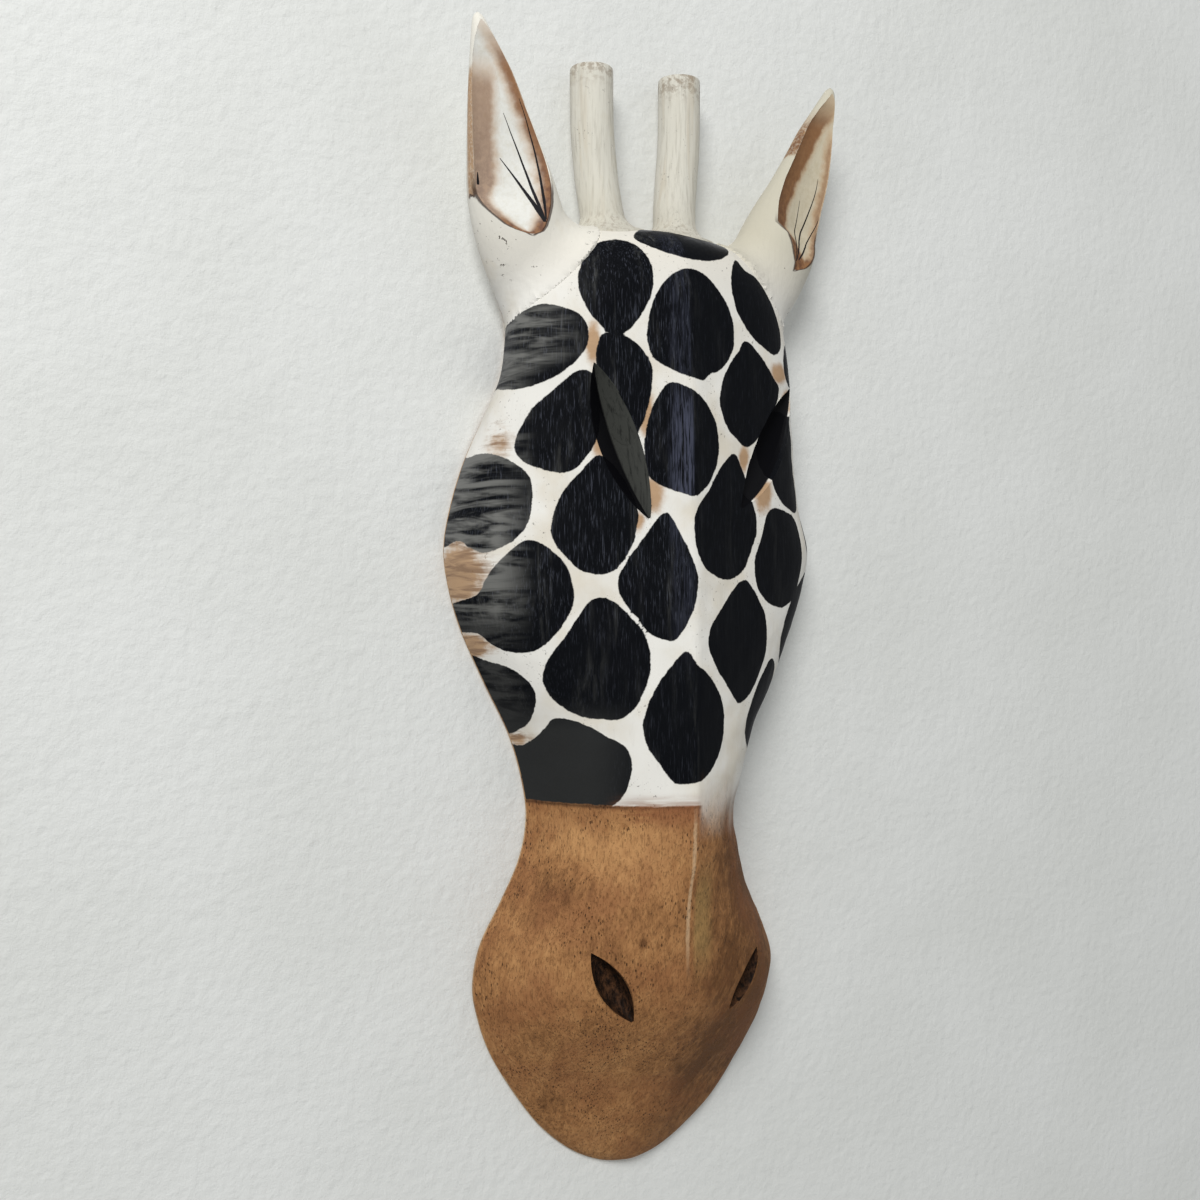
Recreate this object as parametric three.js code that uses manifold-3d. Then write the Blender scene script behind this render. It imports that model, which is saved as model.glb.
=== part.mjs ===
// Carved wooden wall mask of a giraffe's head.
//
// Frame: millimetres, +Z up, +X to the viewer's right, +Y into the wall. The wall plane is y = 0
// and the face looks towards -Y. The origin is where the nail bears on the hanger ring.
import * as THREE from 'three';
import { ParametricGeometry } from 'three/addons/geometries/ParametricGeometry.js';
import { mergeVertices } from 'three/addons/utils/BufferGeometryUtils.js';
import Module from 'manifold-3d';

const wasm = await Module();
wasm.setup();

// ---------- driving dimensions ----------

const JOINT_GAP = 0.3; // clearance left between two pieces that touch

// The head is lofted through these stations, from the chin up to the crown. Each one is
// [height, half width at the wall, sideways drift, ridge depth, side bulge, bulge height, brow angle].
// The bulge height is a share of the ridge depth, and the brow angle is the slope beside the ridge.
const HEAD_STATIONS = [
  [-402.5, 0, -2, 0, 0, 0.4, 20],
  [-401.3, 10.5, -2, 4, -2, 0.4, 20],
  [-397.5, 21, -2, 8.5, -3, 0.4, 20],
  [-391, 32, -2, 13, -4, 0.4, 20],
  [-379, 46.5, -1, 20, -5, 0.4, 20],
  [-362, 60, -0.5, 29, -7, 0.4, 20],
  [-344, 71.5, 0, 39.5, -12, 0.55, 17],
  [-328, 77, -0.5, 48.5, -17, 0.66, 15],
  [-313, 79, -1, 53.5, -20, 0.7, 15],
  [-296, 74, -2.5, 54.5, -20, 0.7, 15],
  [-278, 64.5, -2, 54.5, -18, 0.66, 17],
  [-260, 57.5, 0, 55, -17, 0.62, 19],
  [-242, 54, 0, 56, -16, 0.6, 20],
  [-224, 56.5, 0, 57, -12, 0.62, 20],
  [-204, 63, 0, 57.5, -9.5, 0.62, 20],
  [-182, 74.5, 0, 57, -7, 0.62, 20],
  [-158, 86, 0, 56, -6, 0.62, 20],
  [-138, 92, 0, 55.5, -2, 0.62, 20],
  [-122, 93.5, 0, 55, 1, 0.62, 20],
  [-104, 90, 0, 54.5, -4.5, 0.64, 18],
  [-86, 84, 0, 54, 2, 0.66, 16],
  [-68, 75.5, 0, 53.5, 14, 0.72, 14],
  [-48, 66, 0, 52.5, 27, 0.8, 12],
  [-28, 63.5, 0, 51.5, 26, 0.8, 10],
  [-10, 64, 0, 50, 16, 0.8, 8],
  [4, 58, 0, 46.5, 12, 0.8, 8],
  [12.5, 47, 0, 40, 8, 0.8, 8],
  [16.5, 34, 0, 32, 5, 0.75, 8],
  [18, 20, 0, 22, 2, 0.7, 8],
];
const HEAD_SLICES = 34;
const HEAD_SIDES = 20;
const BACK_SIDES = 2;

// The hollow follows the outside, a wall thickness in, between these heights.
const WALL_THICKNESS = 14;
const HOLLOW_BOTTOM = -366;
const HOLLOW_TOP = -54;
const HOLLOW_END_ROUND = 26;
const HOLLOW_SLICES = 16;
const HOLLOW_SIDES = 12;

// Eyes and nostrils are leaf-shaped notches, each from its upper to its lower tip.
const EYE_WIDTH = 19;
const EYE_DEPTH = 9;
const EYES = {
  left: { upper: [-44, -43.5, -46], lower: [-19.5, -48.5, -111.5], facing: -24 },
  right: { upper: [68.5, -30.5, -47], lower: [30.5, -45.2, -105.5], facing: 36 },
};
const NOSTRIL_WIDTH = 11;
const NOSTRIL_DEPTH = 7;
const NOSTRILS = {
  left: { upper: [-43, -39, -295.3], lower: [-23.9, -42.2, -326.9], facing: -22 },
  right: { upper: [46, -37, -303], lower: [27.5, -40.7, -329], facing: 24 },
};

// An ear is lofted through these stations, from its foot inside the crown's shoulder to its tip:
// [height, distance from the middle, depth, half width, half thickness].
const EAR_STATIONS = [
  [-33, 52, -10, 0, 0],
  [-29, 53, -10.5, 8, 7],
  [-22, 55.5, -12, 13.5, 11],
  [-12, 58, -14, 18, 13.5],
  [-3, 60.5, -16, 20.5, 15.5],
  [10, 64.8, -18, 21.5, 17.4],
  [25, 69.7, -19.5, 20, 18.4],
  [38, 73.8, -22, 17.6, 16],
  [50, 78, -25, 15, 12.8],
  [62, 81.7, -27, 12.2, 10.2],
  [74, 85, -28.5, 9.2, 7.8],
  [84, 88.3, -29.6, 6, 5.2],
  [91, 90.6, -30.3, 3.6, 3.2],
  [94.6, 91.6, -30.5, 2, 1.8],
  [96.2, 92, -30.6, 0, 0],
];
const EAR_SLICES = 20;
const EAR_SIDES = 14;
const EAR_BACK_PLANE = -0.4; // the ears are planed flush just clear of the wall
const EAR_FACING = 10; // degrees each scoop turns away from the middle
const SCOOP_LENGTH = 88;
const SCOOP_WIDTH = 30;
const SCOOP_DEPTH = 11;
const SCOOP_CENTRE_HEIGHT = 44;

// A horn is a carved rod that rises close to the wall. Its root bends in and forward to the crown.
// Each point below its flat top is [shift towards the middle, depth, height].
const HORN_RADIUS = 9.7;
const HORN_ROUTE = [
  [0.3, -12, 64],
  [2, -12.2, 44],
  [3.4, -13.1, 32],
  [4.4, -15, 21],
  [5.2, -17.4, 12],
  [5.8, -20, 4],
];
const HORN_TOPS = { left: [-27.3, -12, 90.2], right: [19, -12, 92.8] };
const HORN_STEPS = 12;
const HORN_ARC_STEPS = 8; // per half turn

// Hidden pegs hold the ears and horns.
const EAR_DOWEL = { radius: 4, length: 34 };
const HORN_DOWEL = { radius: 2.5, length: 22 };
const DOWEL_SIDES = 14;

// Strap hanger: a D-ring on a folded strap with two screws, all inside a pocket in the flat back.
const POCKET = { halfWidth: 14, top: 7, bottom: -46, depth: 6 };
const WIRE_RADIUS = 1.2;
const RING = { topRadius: 9.4, barDrop: 18, corner: 2.4 }; // to the middle of the wire
const RING_STEPS = 36;
const WIRE_SIDES = 8;
const STRAP = { width: 12, thickness: 1.2, length: 25, loopGap: 0.35 };
const SCREW = { headRadius: 3, headHeight: 1.6, shankRadius: 1.5, length: 14, tip: 3 };
const SCREW_DROPS = { upper: 7, lower: 18 }; // below the ring's bar

const COLOURS = {
  paintedWood: 0xe8e6dc,
  pegWood: 0xb08a5c,
  steel: 0x9a9c9e,
};

// ---------- small helpers ----------

function catmullRom(stations, t) {
  // A smooth row of values at share t (0 to 1) of the way along a list of stations.
  const scaled = t * (stations.length - 1);
  const index = Math.min(Math.floor(scaled), stations.length - 2);
  const f = scaled - index;
  const b = stations[index];
  const c = stations[index + 1];
  const a = stations[index - 1] ?? b.map((value, k) => 2 * value - c[k]);
  const d = stations[index + 2] ?? c.map((value, k) => 2 * value - b[k]);
  return b.map((value, k) => 0.5 * (2 * value + (c[k] - a[k]) * f
    + (2 * a[k] - 5 * value + 4 * c[k] - d[k]) * f * f
    + (3 * value - 3 * c[k] + d[k] - a[k]) * f * f * f));
}

function toSolid(geometry) {
  const bare = geometry.index ? geometry.toNonIndexed() : geometry.clone();
  bare.deleteAttribute('normal');
  bare.deleteAttribute('uv');
  const merged = mergeVertices(bare, 1e-4);
  const index = merged.index.array;
  const triVerts = [];
  for (let i = 0; i < index.length; i += 3) {
    const [a, b, c] = [index[i], index[i + 1], index[i + 2]];
    if (a !== b && b !== c && c !== a) triVerts.push(a, b, c);
  }
  const vertProperties = new Float32Array(merged.attributes.position.array);
  const mesh = new wasm.Mesh({ numProp: 3, vertProperties, triVerts: new Uint32Array(triVerts) });
  return new wasm.Manifold(mesh);
}

function toGeometry(solid) {
  const { vertProperties, triVerts, numProp } = solid.getMesh();
  const positions = new Float32Array((vertProperties.length / numProp) * 3);
  for (let i = 0; i < positions.length / 3; i += 1) {
    for (let k = 0; k < 3; k += 1) positions[3 * i + k] = vertProperties[numProp * i + k];
  }
  const geometry = new THREE.BufferGeometry();
  geometry.setAttribute('position', new THREE.BufferAttribute(positions, 3));
  geometry.setIndex(new THREE.BufferAttribute(new Uint32Array(triVerts), 1));
  geometry.computeVertexNormals();
  return geometry;
}

function subtractAll(solid, cutters) {
  return cutters.reduce((left, cutter) => left.subtract(cutter), solid);
}

// Turns a geometry whose long axis is Y so that Y points along a direction, centred at a point.
function aimY(geometry, centre, direction) {
  const turn = new THREE.Quaternion();
  turn.setFromUnitVectors(new THREE.Vector3(0, 1, 0), direction.clone().normalize());
  return geometry.applyQuaternion(turn).translate(centre.x, centre.y, centre.z);
}

function namedMesh(name, solid, colour, roughness, metalness) {
  const material = new THREE.MeshStandardMaterial({ color: colour, roughness, metalness });
  const mesh = new THREE.Mesh(toGeometry(solid), material);
  mesh.name = name;
  return mesh;
}

const woodMesh = (name, solid) => namedMesh(name, solid, COLOURS.paintedWood, 0.7, 0);
const pegMesh = (name, solid) => namedMesh(name, solid, COLOURS.pegWood, 0.8, 0);
const steelMesh = (name, solid) => namedMesh(name, solid, COLOURS.steel, 0.4, 1);

const mirrorSign = (side) => (side === 'left' ? -1 : 1);

// ---------- head ----------

// One point of a head section: side runs from -1 at the left edge over the ridge (0) to 1.
function facePoint([height, halfWidth, drift, ridge, bulge, bulgeHeight, browAngle], side) {
  const t = Math.abs(side);
  const browX = 0.5 * halfWidth;
  const browY = ridge - browX * Math.tan(THREE.MathUtils.degToRad(browAngle));
  const near = 3 * t * (1 - t) ** 2;
  const far = 3 * t * t * (1 - t);
  const x = near * browX + far * (halfWidth + bulge) + t ** 3 * halfWidth;
  const depth = (1 - t) ** 3 * ridge + near * browY + far * bulgeHeight * ridge;
  return new THREE.Vector3(Math.sign(side) * x + drift, -depth, height);
}

// A closed loft of head sections. Each end closes on a point in the middle of its section. Each
// section runs along the wall plane from the right edge to the left, then back over the face.
function headLoft(stations, slices, faceSides, backPlane) {
  const sides = BACK_SIDES + faceSides;
  const rings = slices + 2;
  const surface = (round, along, target) => {
    const ring = Math.round(along * rings);
    const corner = Math.round(round * sides) % sides;
    const station = catmullRom(stations, THREE.MathUtils.clamp((ring - 1) / slices, 0, 1));
    const [height, halfWidth, drift, ridge] = station;
    if (ring === 0 || ring === rings) {
      target.set(drift, -0.4 * ridge, height);
    } else if (corner <= BACK_SIDES) {
      target.set(drift + halfWidth * (1 - (2 * corner) / BACK_SIDES), backPlane, height);
    } else {
      target.copy(facePoint(station, (2 * (corner - BACK_SIDES)) / faceSides - 1));
    }
  };
  return toSolid(new ParametricGeometry(surface, sides, rings));
}

function grownStations(margin) {
  return HEAD_STATIONS.map(([height, halfWidth, drift, ridge, ...rest]) => (
    [height, halfWidth + margin, drift, ridge + margin, ...rest]));
}

function stationAt(height) {
  let low = 0;
  let high = 1;
  for (let step = 0; step < 30; step += 1) {
    const middle = (low + high) / 2;
    if (catmullRom(HEAD_STATIONS, middle)[0] < height) low = middle;
    else high = middle;
  }
  return catmullRom(HEAD_STATIONS, low);
}

// The hollow's stations: the outside's, a wall thickness in, with rounded ends.
function hollowStations() {
  const stations = [];
  for (let slice = 0; slice <= HOLLOW_SLICES; slice += 1) {
    const height = THREE.MathUtils.lerp(HOLLOW_BOTTOM, HOLLOW_TOP, slice / HOLLOW_SLICES);
    const fromEnd = Math.min(height - HOLLOW_BOTTOM, HOLLOW_TOP - height) / HOLLOW_END_ROUND;
    const fullness = 0.5 + 0.5 * Math.sqrt(1 - (1 - Math.min(fromEnd, 1)) ** 2);
    const [, halfWidth, drift, ridge, ...rest] = stationAt(height);
    const innerWidth = fullness * (halfWidth - WALL_THICKNESS);
    stations.push([height, innerWidth, drift, fullness * (ridge - WALL_THICKNESS), ...rest]);
  }
  return stations;
}

// A leaf-shaped notch between two tips, deepest in the middle, opening along its facing.
function leafCutter({ upper, lower, facing }, width, depth) {
  const top = new THREE.Vector3(...upper);
  const bottom = new THREE.Vector3(...lower);
  const length = top.distanceTo(bottom);
  const profile = [];
  const steps = 10;
  for (let step = 0; step <= steps; step += 1) {
    const share = (2 * step) / steps - 1;
    profile.push(new THREE.Vector2((width / 2) * (1 - share * share), (share * length) / 2));
  }
  const along = top.clone().sub(bottom).normalize();
  const angle = THREE.MathUtils.degToRad(facing);
  const outward = new THREE.Vector3(Math.sin(angle), -Math.cos(angle), 0);
  const across = along.clone().cross(outward).normalize();
  const normal = across.clone().cross(along);
  const leaf = new THREE.LatheGeometry(profile, 10);
  leaf.scale(1, 1, (2 * depth) / width);
  leaf.applyMatrix4(new THREE.Matrix4().makeBasis(across, along, normal));
  return toSolid(leaf.translate(...top.add(bottom).multiplyScalar(0.5).toArray()));
}

// ---------- ears ----------

// One point of an ear's round section. The end stations have no width, so both ends close.
function earPoint([height, reach, depth, halfWidth, halfThickness], angle, side) {
  const x = mirrorSign(side) * reach + halfWidth * Math.cos(angle);
  const y = depth + halfThickness * Math.sin(angle);
  return new THREE.Vector3(x, Math.min(y, EAR_BACK_PLANE), height);
}

function scoopCutter(side) {
  const index = EAR_STATIONS.findIndex(([height]) => height >= SCOOP_CENTRE_HEIGHT);
  const [lowStation, highStation] = [EAR_STATIONS[index - 1], EAR_STATIONS[index]];
  const share = (SCOOP_CENTRE_HEIGHT - lowStation[0]) / (highStation[0] - lowStation[0]);
  const [, reach, depth, , thickness] = lowStation.map((low, k) => (
    THREE.MathUtils.lerp(low, highStation[k], share)));
  const [foot, tip] = [EAR_STATIONS[5], EAR_STATIONS[12]];
  const sign = mirrorSign(side);
  const along = new THREE.Vector3(sign * (tip[1] - foot[1]), tip[2] - foot[2], tip[0] - foot[0]);
  along.normalize();
  const angle = sign * THREE.MathUtils.degToRad(EAR_FACING);
  const outward = new THREE.Vector3(Math.sin(angle), -Math.cos(angle), 0);
  const across = along.clone().cross(outward).normalize();
  const normal = across.clone().cross(along);
  const scoop = new THREE.SphereGeometry(1, 16, 12);
  scoop.scale(SCOOP_WIDTH / 2, SCOOP_LENGTH / 2, SCOOP_DEPTH);
  scoop.applyMatrix4(new THREE.Matrix4().makeBasis(across, along, normal));
  const centre = new THREE.Vector3(sign * reach, depth, SCOOP_CENTRE_HEIGHT);
  centre.addScaledVector(normal, thickness);
  return toSolid(scoop.translate(centre.x, centre.y, centre.z));
}

function buildEar(side, headWithGap, dowelSocket) {
  const surface = (round, along, target) => {
    const station = catmullRom(EAR_STATIONS, along);
    target.copy(earPoint(station, 2 * Math.PI * (round === 1 ? 0 : round), side));
    if (along === 0 || along === 1) target.copy(earPoint(station, 0, side));
  };
  const ear = toSolid(new ParametricGeometry(surface, EAR_SIDES, EAR_SLICES));
  const carved = subtractAll(ear, [scoopCutter(side), headWithGap, dowelSocket]);
  return largestPiece(carved);
}

// Cutting one shape by another can leave slivers, so only the main piece is kept.
function largestPiece(solid) {
  const pieces = solid.decompose();
  return pieces.reduce((best, piece) => (piece.volume() > best.volume() ? piece : best));
}

// ---------- horns and dowels ----------

function hornCurve(side) {
  const top = HORN_TOPS[side];
  const inward = -mirrorSign(side);
  const root = HORN_ROUTE.map(([shift, y, z]) => new THREE.Vector3(top[0] + inward * shift, y, z));
  return new THREE.CatmullRomCurve3([new THREE.Vector3(...top), ...root]);
}

// A rod along the horn's route. extra grows it, to cut the socket that the horn stands in.
function hornRod(side, extra) {
  const circle = new THREE.Shape();
  circle.absarc(0, 0, HORN_RADIUS + extra, 0, 2 * Math.PI);
  const options = { steps: HORN_STEPS, curveSegments: HORN_ARC_STEPS, extrudePath: hornCurve(side) };
  return toSolid(new THREE.ExtrudeGeometry(circle, { ...options, bevelEnabled: false }));
}

function cylinder(radius, length, centre, direction) {
  return toSolid(aimY(new THREE.CylinderGeometry(radius, radius, length, DOWEL_SIDES), centre, direction));
}

// A peg and the two half sockets around it, as one cutter a joint gap larger all over.
function dowelPair({ radius, length }, centre, direction) {
  return {
    peg: cylinder(radius, length, centre, direction),
    socket: cylinder(radius + JOINT_GAP, length + 2 * JOINT_GAP, centre, direction),
  };
}

function earDowel(side) {
  const sign = mirrorSign(side);
  return dowelPair(EAR_DOWEL, new THREE.Vector3(sign * 51, -20, 4), new THREE.Vector3(sign, 0, 0.35));
}

function hornDowel(side) {
  const curve = hornCurve(side);
  const foot = curve.getPoint(1);
  const direction = curve.getTangent(1);
  return dowelPair(HORN_DOWEL, foot, direction);
}

// ---------- hanger ----------

const barHeight = WIRE_RADIUS - RING.barDrop;
const pocketFloor = -POCKET.depth;
const loopOuter = WIRE_RADIUS + STRAP.loopGap + STRAP.thickness;
const barDepth = pocketFloor + JOINT_GAP + loopOuter;

function buildRing() {
  const { topRadius, barDrop, corner } = RING;
  const outline = new THREE.Path();
  outline.moveTo(0, 0);
  outline.absarc(topRadius - corner, corner, corner, -Math.PI / 2, 0);
  outline.absarc(0, barDrop - topRadius, topRadius, 0, Math.PI);
  outline.absarc(corner - topRadius, corner, corner, Math.PI, 1.5 * Math.PI);
  outline.lineTo(0, 0);
  const surface = (round, along, target) => {
    const share = along === 1 ? 0 : along;
    const angle = round === 1 ? 0 : 2 * Math.PI * round;
    const middle = outline.getPointAt(share);
    const tangent = outline.getTangentAt(share);
    const reach = WIRE_RADIUS * Math.cos(angle);
    target.set(
      middle.x + tangent.y * reach,
      barDepth + WIRE_RADIUS * Math.sin(angle),
      barHeight + middle.y - tangent.x * reach,
    );
  };
  return toSolid(new ParametricGeometry(surface, WIRE_SIDES, RING_STEPS));
}

// The strap's outline seen from the side: a flat leg on the pocket floor, curled around the bar.
function buildStrap(screwHoles) {
  const outline = new THREE.Shape();
  const floor = pocketFloor + JOINT_GAP;
  const curlEnd = -0.6 * Math.PI;
  outline.moveTo(floor, barHeight - STRAP.length);
  outline.absarc(barDepth, barHeight, loopOuter, Math.PI, curlEnd, true);
  outline.absarc(barDepth, barHeight, loopOuter - STRAP.thickness, curlEnd, Math.PI, false);
  outline.lineTo(floor + STRAP.thickness, barHeight - STRAP.length);
  const strip = new THREE.ExtrudeGeometry(outline, {
    depth: STRAP.width,
    curveSegments: 10,
    bevelEnabled: false,
  });
  // The outline is drawn in (y, z); this turns it so that its extrusion runs along X.
  strip.applyMatrix4(new THREE.Matrix4().makeBasis(
    new THREE.Vector3(0, 1, 0),
    new THREE.Vector3(0, 0, 1),
    new THREE.Vector3(1, 0, 0),
  ));
  strip.translate(-STRAP.width / 2, 0, 0);
  return subtractAll(toSolid(strip), screwHoles);
}

// A pan-head wood screw along -Y. extra grows it, to cut its clearance hole.
function buildScrew(drop, extra) {
  const { headRadius, headHeight, shankRadius, length, tip } = SCREW;
  const profile = extra > 0
    ? [[0, -length - extra], [shankRadius + extra, -length - extra], [shankRadius + extra, 2], [0, 2]]
    : [[0, -length], [shankRadius, tip - length], [shankRadius, 0], [headRadius, 0],
      [headRadius, 0.5 * headHeight], [0.6 * headRadius, headHeight], [0, headHeight]];
  const points = profile.map(([radius, along]) => new THREE.Vector2(radius, along));
  const seat = pocketFloor + STRAP.thickness + 2 * JOINT_GAP;
  const centre = new THREE.Vector3(0, seat, barHeight - drop);
  return toSolid(aimY(new THREE.LatheGeometry(points, 14), centre, new THREE.Vector3(0, 1, 0)));
}

function pocketCutter() {
  const proud = 2;
  const size = [2 * POCKET.halfWidth, POCKET.depth + proud, POCKET.top - POCKET.bottom];
  const box = new THREE.BoxGeometry(...size);
  return toSolid(box.translate(0, (proud - POCKET.depth) / 2, (POCKET.top + POCKET.bottom) / 2));
}

// ---------- assembly ----------

const SIDES = ['left', 'right'];
const screwNames = Object.keys(SCREW_DROPS);
const screwHoles = screwNames.map((name) => buildScrew(SCREW_DROPS[name], JOINT_GAP));
const earDowels = SIDES.map(earDowel);
const hornDowels = SIDES.map(hornDowel);
const hornSockets = SIDES.map((side) => hornRod(side, JOINT_GAP));

const headOutside = headLoft(HEAD_STATIONS, HEAD_SLICES, HEAD_SIDES, 0);
const headWithGap = headLoft(grownStations(JOINT_GAP), HEAD_SLICES, HEAD_SIDES, 2);
const hollow = headLoft(hollowStations(), HOLLOW_SLICES, HOLLOW_SIDES, 2);
const head = largestPiece(subtractAll(headOutside, [
  hollow,
  pocketCutter(),
  ...SIDES.map((side) => leafCutter(EYES[side], EYE_WIDTH, EYE_DEPTH)),
  ...SIDES.map((side) => leafCutter(NOSTRILS[side], NOSTRIL_WIDTH, NOSTRIL_DEPTH)),
  ...hornSockets,
  ...earDowels.map(({ socket }) => socket),
  ...hornDowels.map(({ socket }) => socket),
  ...screwHoles,
]));

const mask = new THREE.Group();
mask.add(woodMesh('head', head));
SIDES.forEach((side, index) => {
  const ear = buildEar(side, headWithGap, earDowels[index].socket);
  const horn = hornRod(side, 0).subtract(hornDowels[index].socket);
  mask.add(woodMesh(`${side}_ear`, ear));
  mask.add(woodMesh(`${side}_horn`, horn));
  mask.add(pegMesh(`${side}_ear_dowel`, earDowels[index].peg));
  mask.add(pegMesh(`${side}_horn_dowel`, hornDowels[index].peg));
});
mask.add(steelMesh('hanger_strap', buildStrap(screwHoles)));
mask.add(steelMesh('hanger_ring', buildRing()));
screwNames.forEach((name) => {
  mask.add(steelMesh(`hanger_screw_${name}`, buildScrew(SCREW_DROPS[name], 0)));
});

export default mask;
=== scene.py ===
"""Looks for the carved giraffe-head wall mask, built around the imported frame.

Lengths in the tables and shape functions are millimetres in the row frame: the origin is the wall
nail, +Z is up, +X is the viewer's right and the face looks along -Y. Meshes are made in metres.
"""
import math

import bmesh
import bpy
import numpy as np
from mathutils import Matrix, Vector
from mathutils.bvhtree import BVHTree


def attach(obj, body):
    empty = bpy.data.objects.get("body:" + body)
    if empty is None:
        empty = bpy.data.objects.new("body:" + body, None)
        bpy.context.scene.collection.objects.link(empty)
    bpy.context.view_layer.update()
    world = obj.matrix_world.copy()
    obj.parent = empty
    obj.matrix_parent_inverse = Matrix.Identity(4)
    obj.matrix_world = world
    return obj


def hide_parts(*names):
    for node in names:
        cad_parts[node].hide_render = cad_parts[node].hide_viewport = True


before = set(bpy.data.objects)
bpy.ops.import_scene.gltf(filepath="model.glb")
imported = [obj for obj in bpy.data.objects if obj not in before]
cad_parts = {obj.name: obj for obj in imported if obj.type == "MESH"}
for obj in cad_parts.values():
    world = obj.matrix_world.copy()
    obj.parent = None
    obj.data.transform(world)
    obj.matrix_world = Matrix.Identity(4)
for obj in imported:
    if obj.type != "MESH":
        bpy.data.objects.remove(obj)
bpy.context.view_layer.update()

MM = 0.001

# ---------------------------------------------------------------- head shape, as in the CAD model

# height, half width at the wall, drift, ridge depth, side bulge, bulge height, brow angle
HEAD_STATIONS = np.array([
    (-402.5, 0, -2, 0, 0, 0.4, 20),
    (-401.3, 10.5, -2, 4, -2, 0.4, 20),
    (-397.5, 21, -2, 8.5, -3, 0.4, 20),
    (-391, 32, -2, 13, -4, 0.4, 20),
    (-379, 46.5, -1, 20, -5, 0.4, 20),
    (-362, 60, -0.5, 29, -7, 0.4, 20),
    (-344, 71.5, 0, 39.5, -12, 0.55, 17),
    (-328, 77, -0.5, 48.5, -17, 0.66, 15),
    (-313, 79, -1, 53.5, -20, 0.7, 15),
    (-296, 74, -2.5, 54.5, -20, 0.7, 15),
    (-278, 64.5, -2, 54.5, -18, 0.66, 17),
    (-260, 57.5, 0, 55, -17, 0.62, 19),
    (-242, 54, 0, 56, -16, 0.6, 20),
    (-224, 56.5, 0, 57, -12, 0.62, 20),
    (-204, 63, 0, 57.5, -9.5, 0.62, 20),
    (-182, 74.5, 0, 57, -7, 0.62, 20),
    (-158, 86, 0, 56, -6, 0.62, 20),
    (-138, 92, 0, 55.5, -2, 0.62, 20),
    (-122, 93.5, 0, 55, 1, 0.62, 20),
    (-104, 90, 0, 54.5, -4.5, 0.64, 18),
    (-86, 84, 0, 54, 2, 0.66, 16),
    (-68, 75.5, 0, 53.5, 14, 0.72, 14),
    (-48, 66, 0, 52.5, 27, 0.8, 12),
    (-28, 63.5, 0, 51.5, 26, 0.8, 10),
    (-10, 64, 0, 50, 16, 0.8, 8),
    (4, 58, 0, 46.5, 12, 0.8, 8),
    (12.5, 47, 0, 40, 8, 0.8, 8),
    (16.5, 34, 0, 32, 5, 0.75, 8),
    (18, 20, 0, 22, 2, 0.7, 8),
], float)
WALL_THICKNESS = 14
HOLLOW_BOTTOM, HOLLOW_TOP, HOLLOW_END_ROUND = -366, -54, 26
# share of the section over which the ridge is worn round, at some heights
RIDGE_WEAR = ((-402, 0.16), (-350, 0.12), (-300, 0.05), (-250, 0.013), (18, 0.013))
HEAD_STEP = 1.25  # spacing of the fine mesh over the face
# from the ridge to the wall over the widest section, outside and in the hollow
HALF_GIRTH, HOLLOW_HALF_GIRTH = 112, 80
PAST_WALL = 2  # how far a cutter passes the wall plane
ON_FACE = 0.05  # how close to the uncut face a point has to be, to count as on it

# ---------------------------------------------------------------- painted pattern

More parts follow.
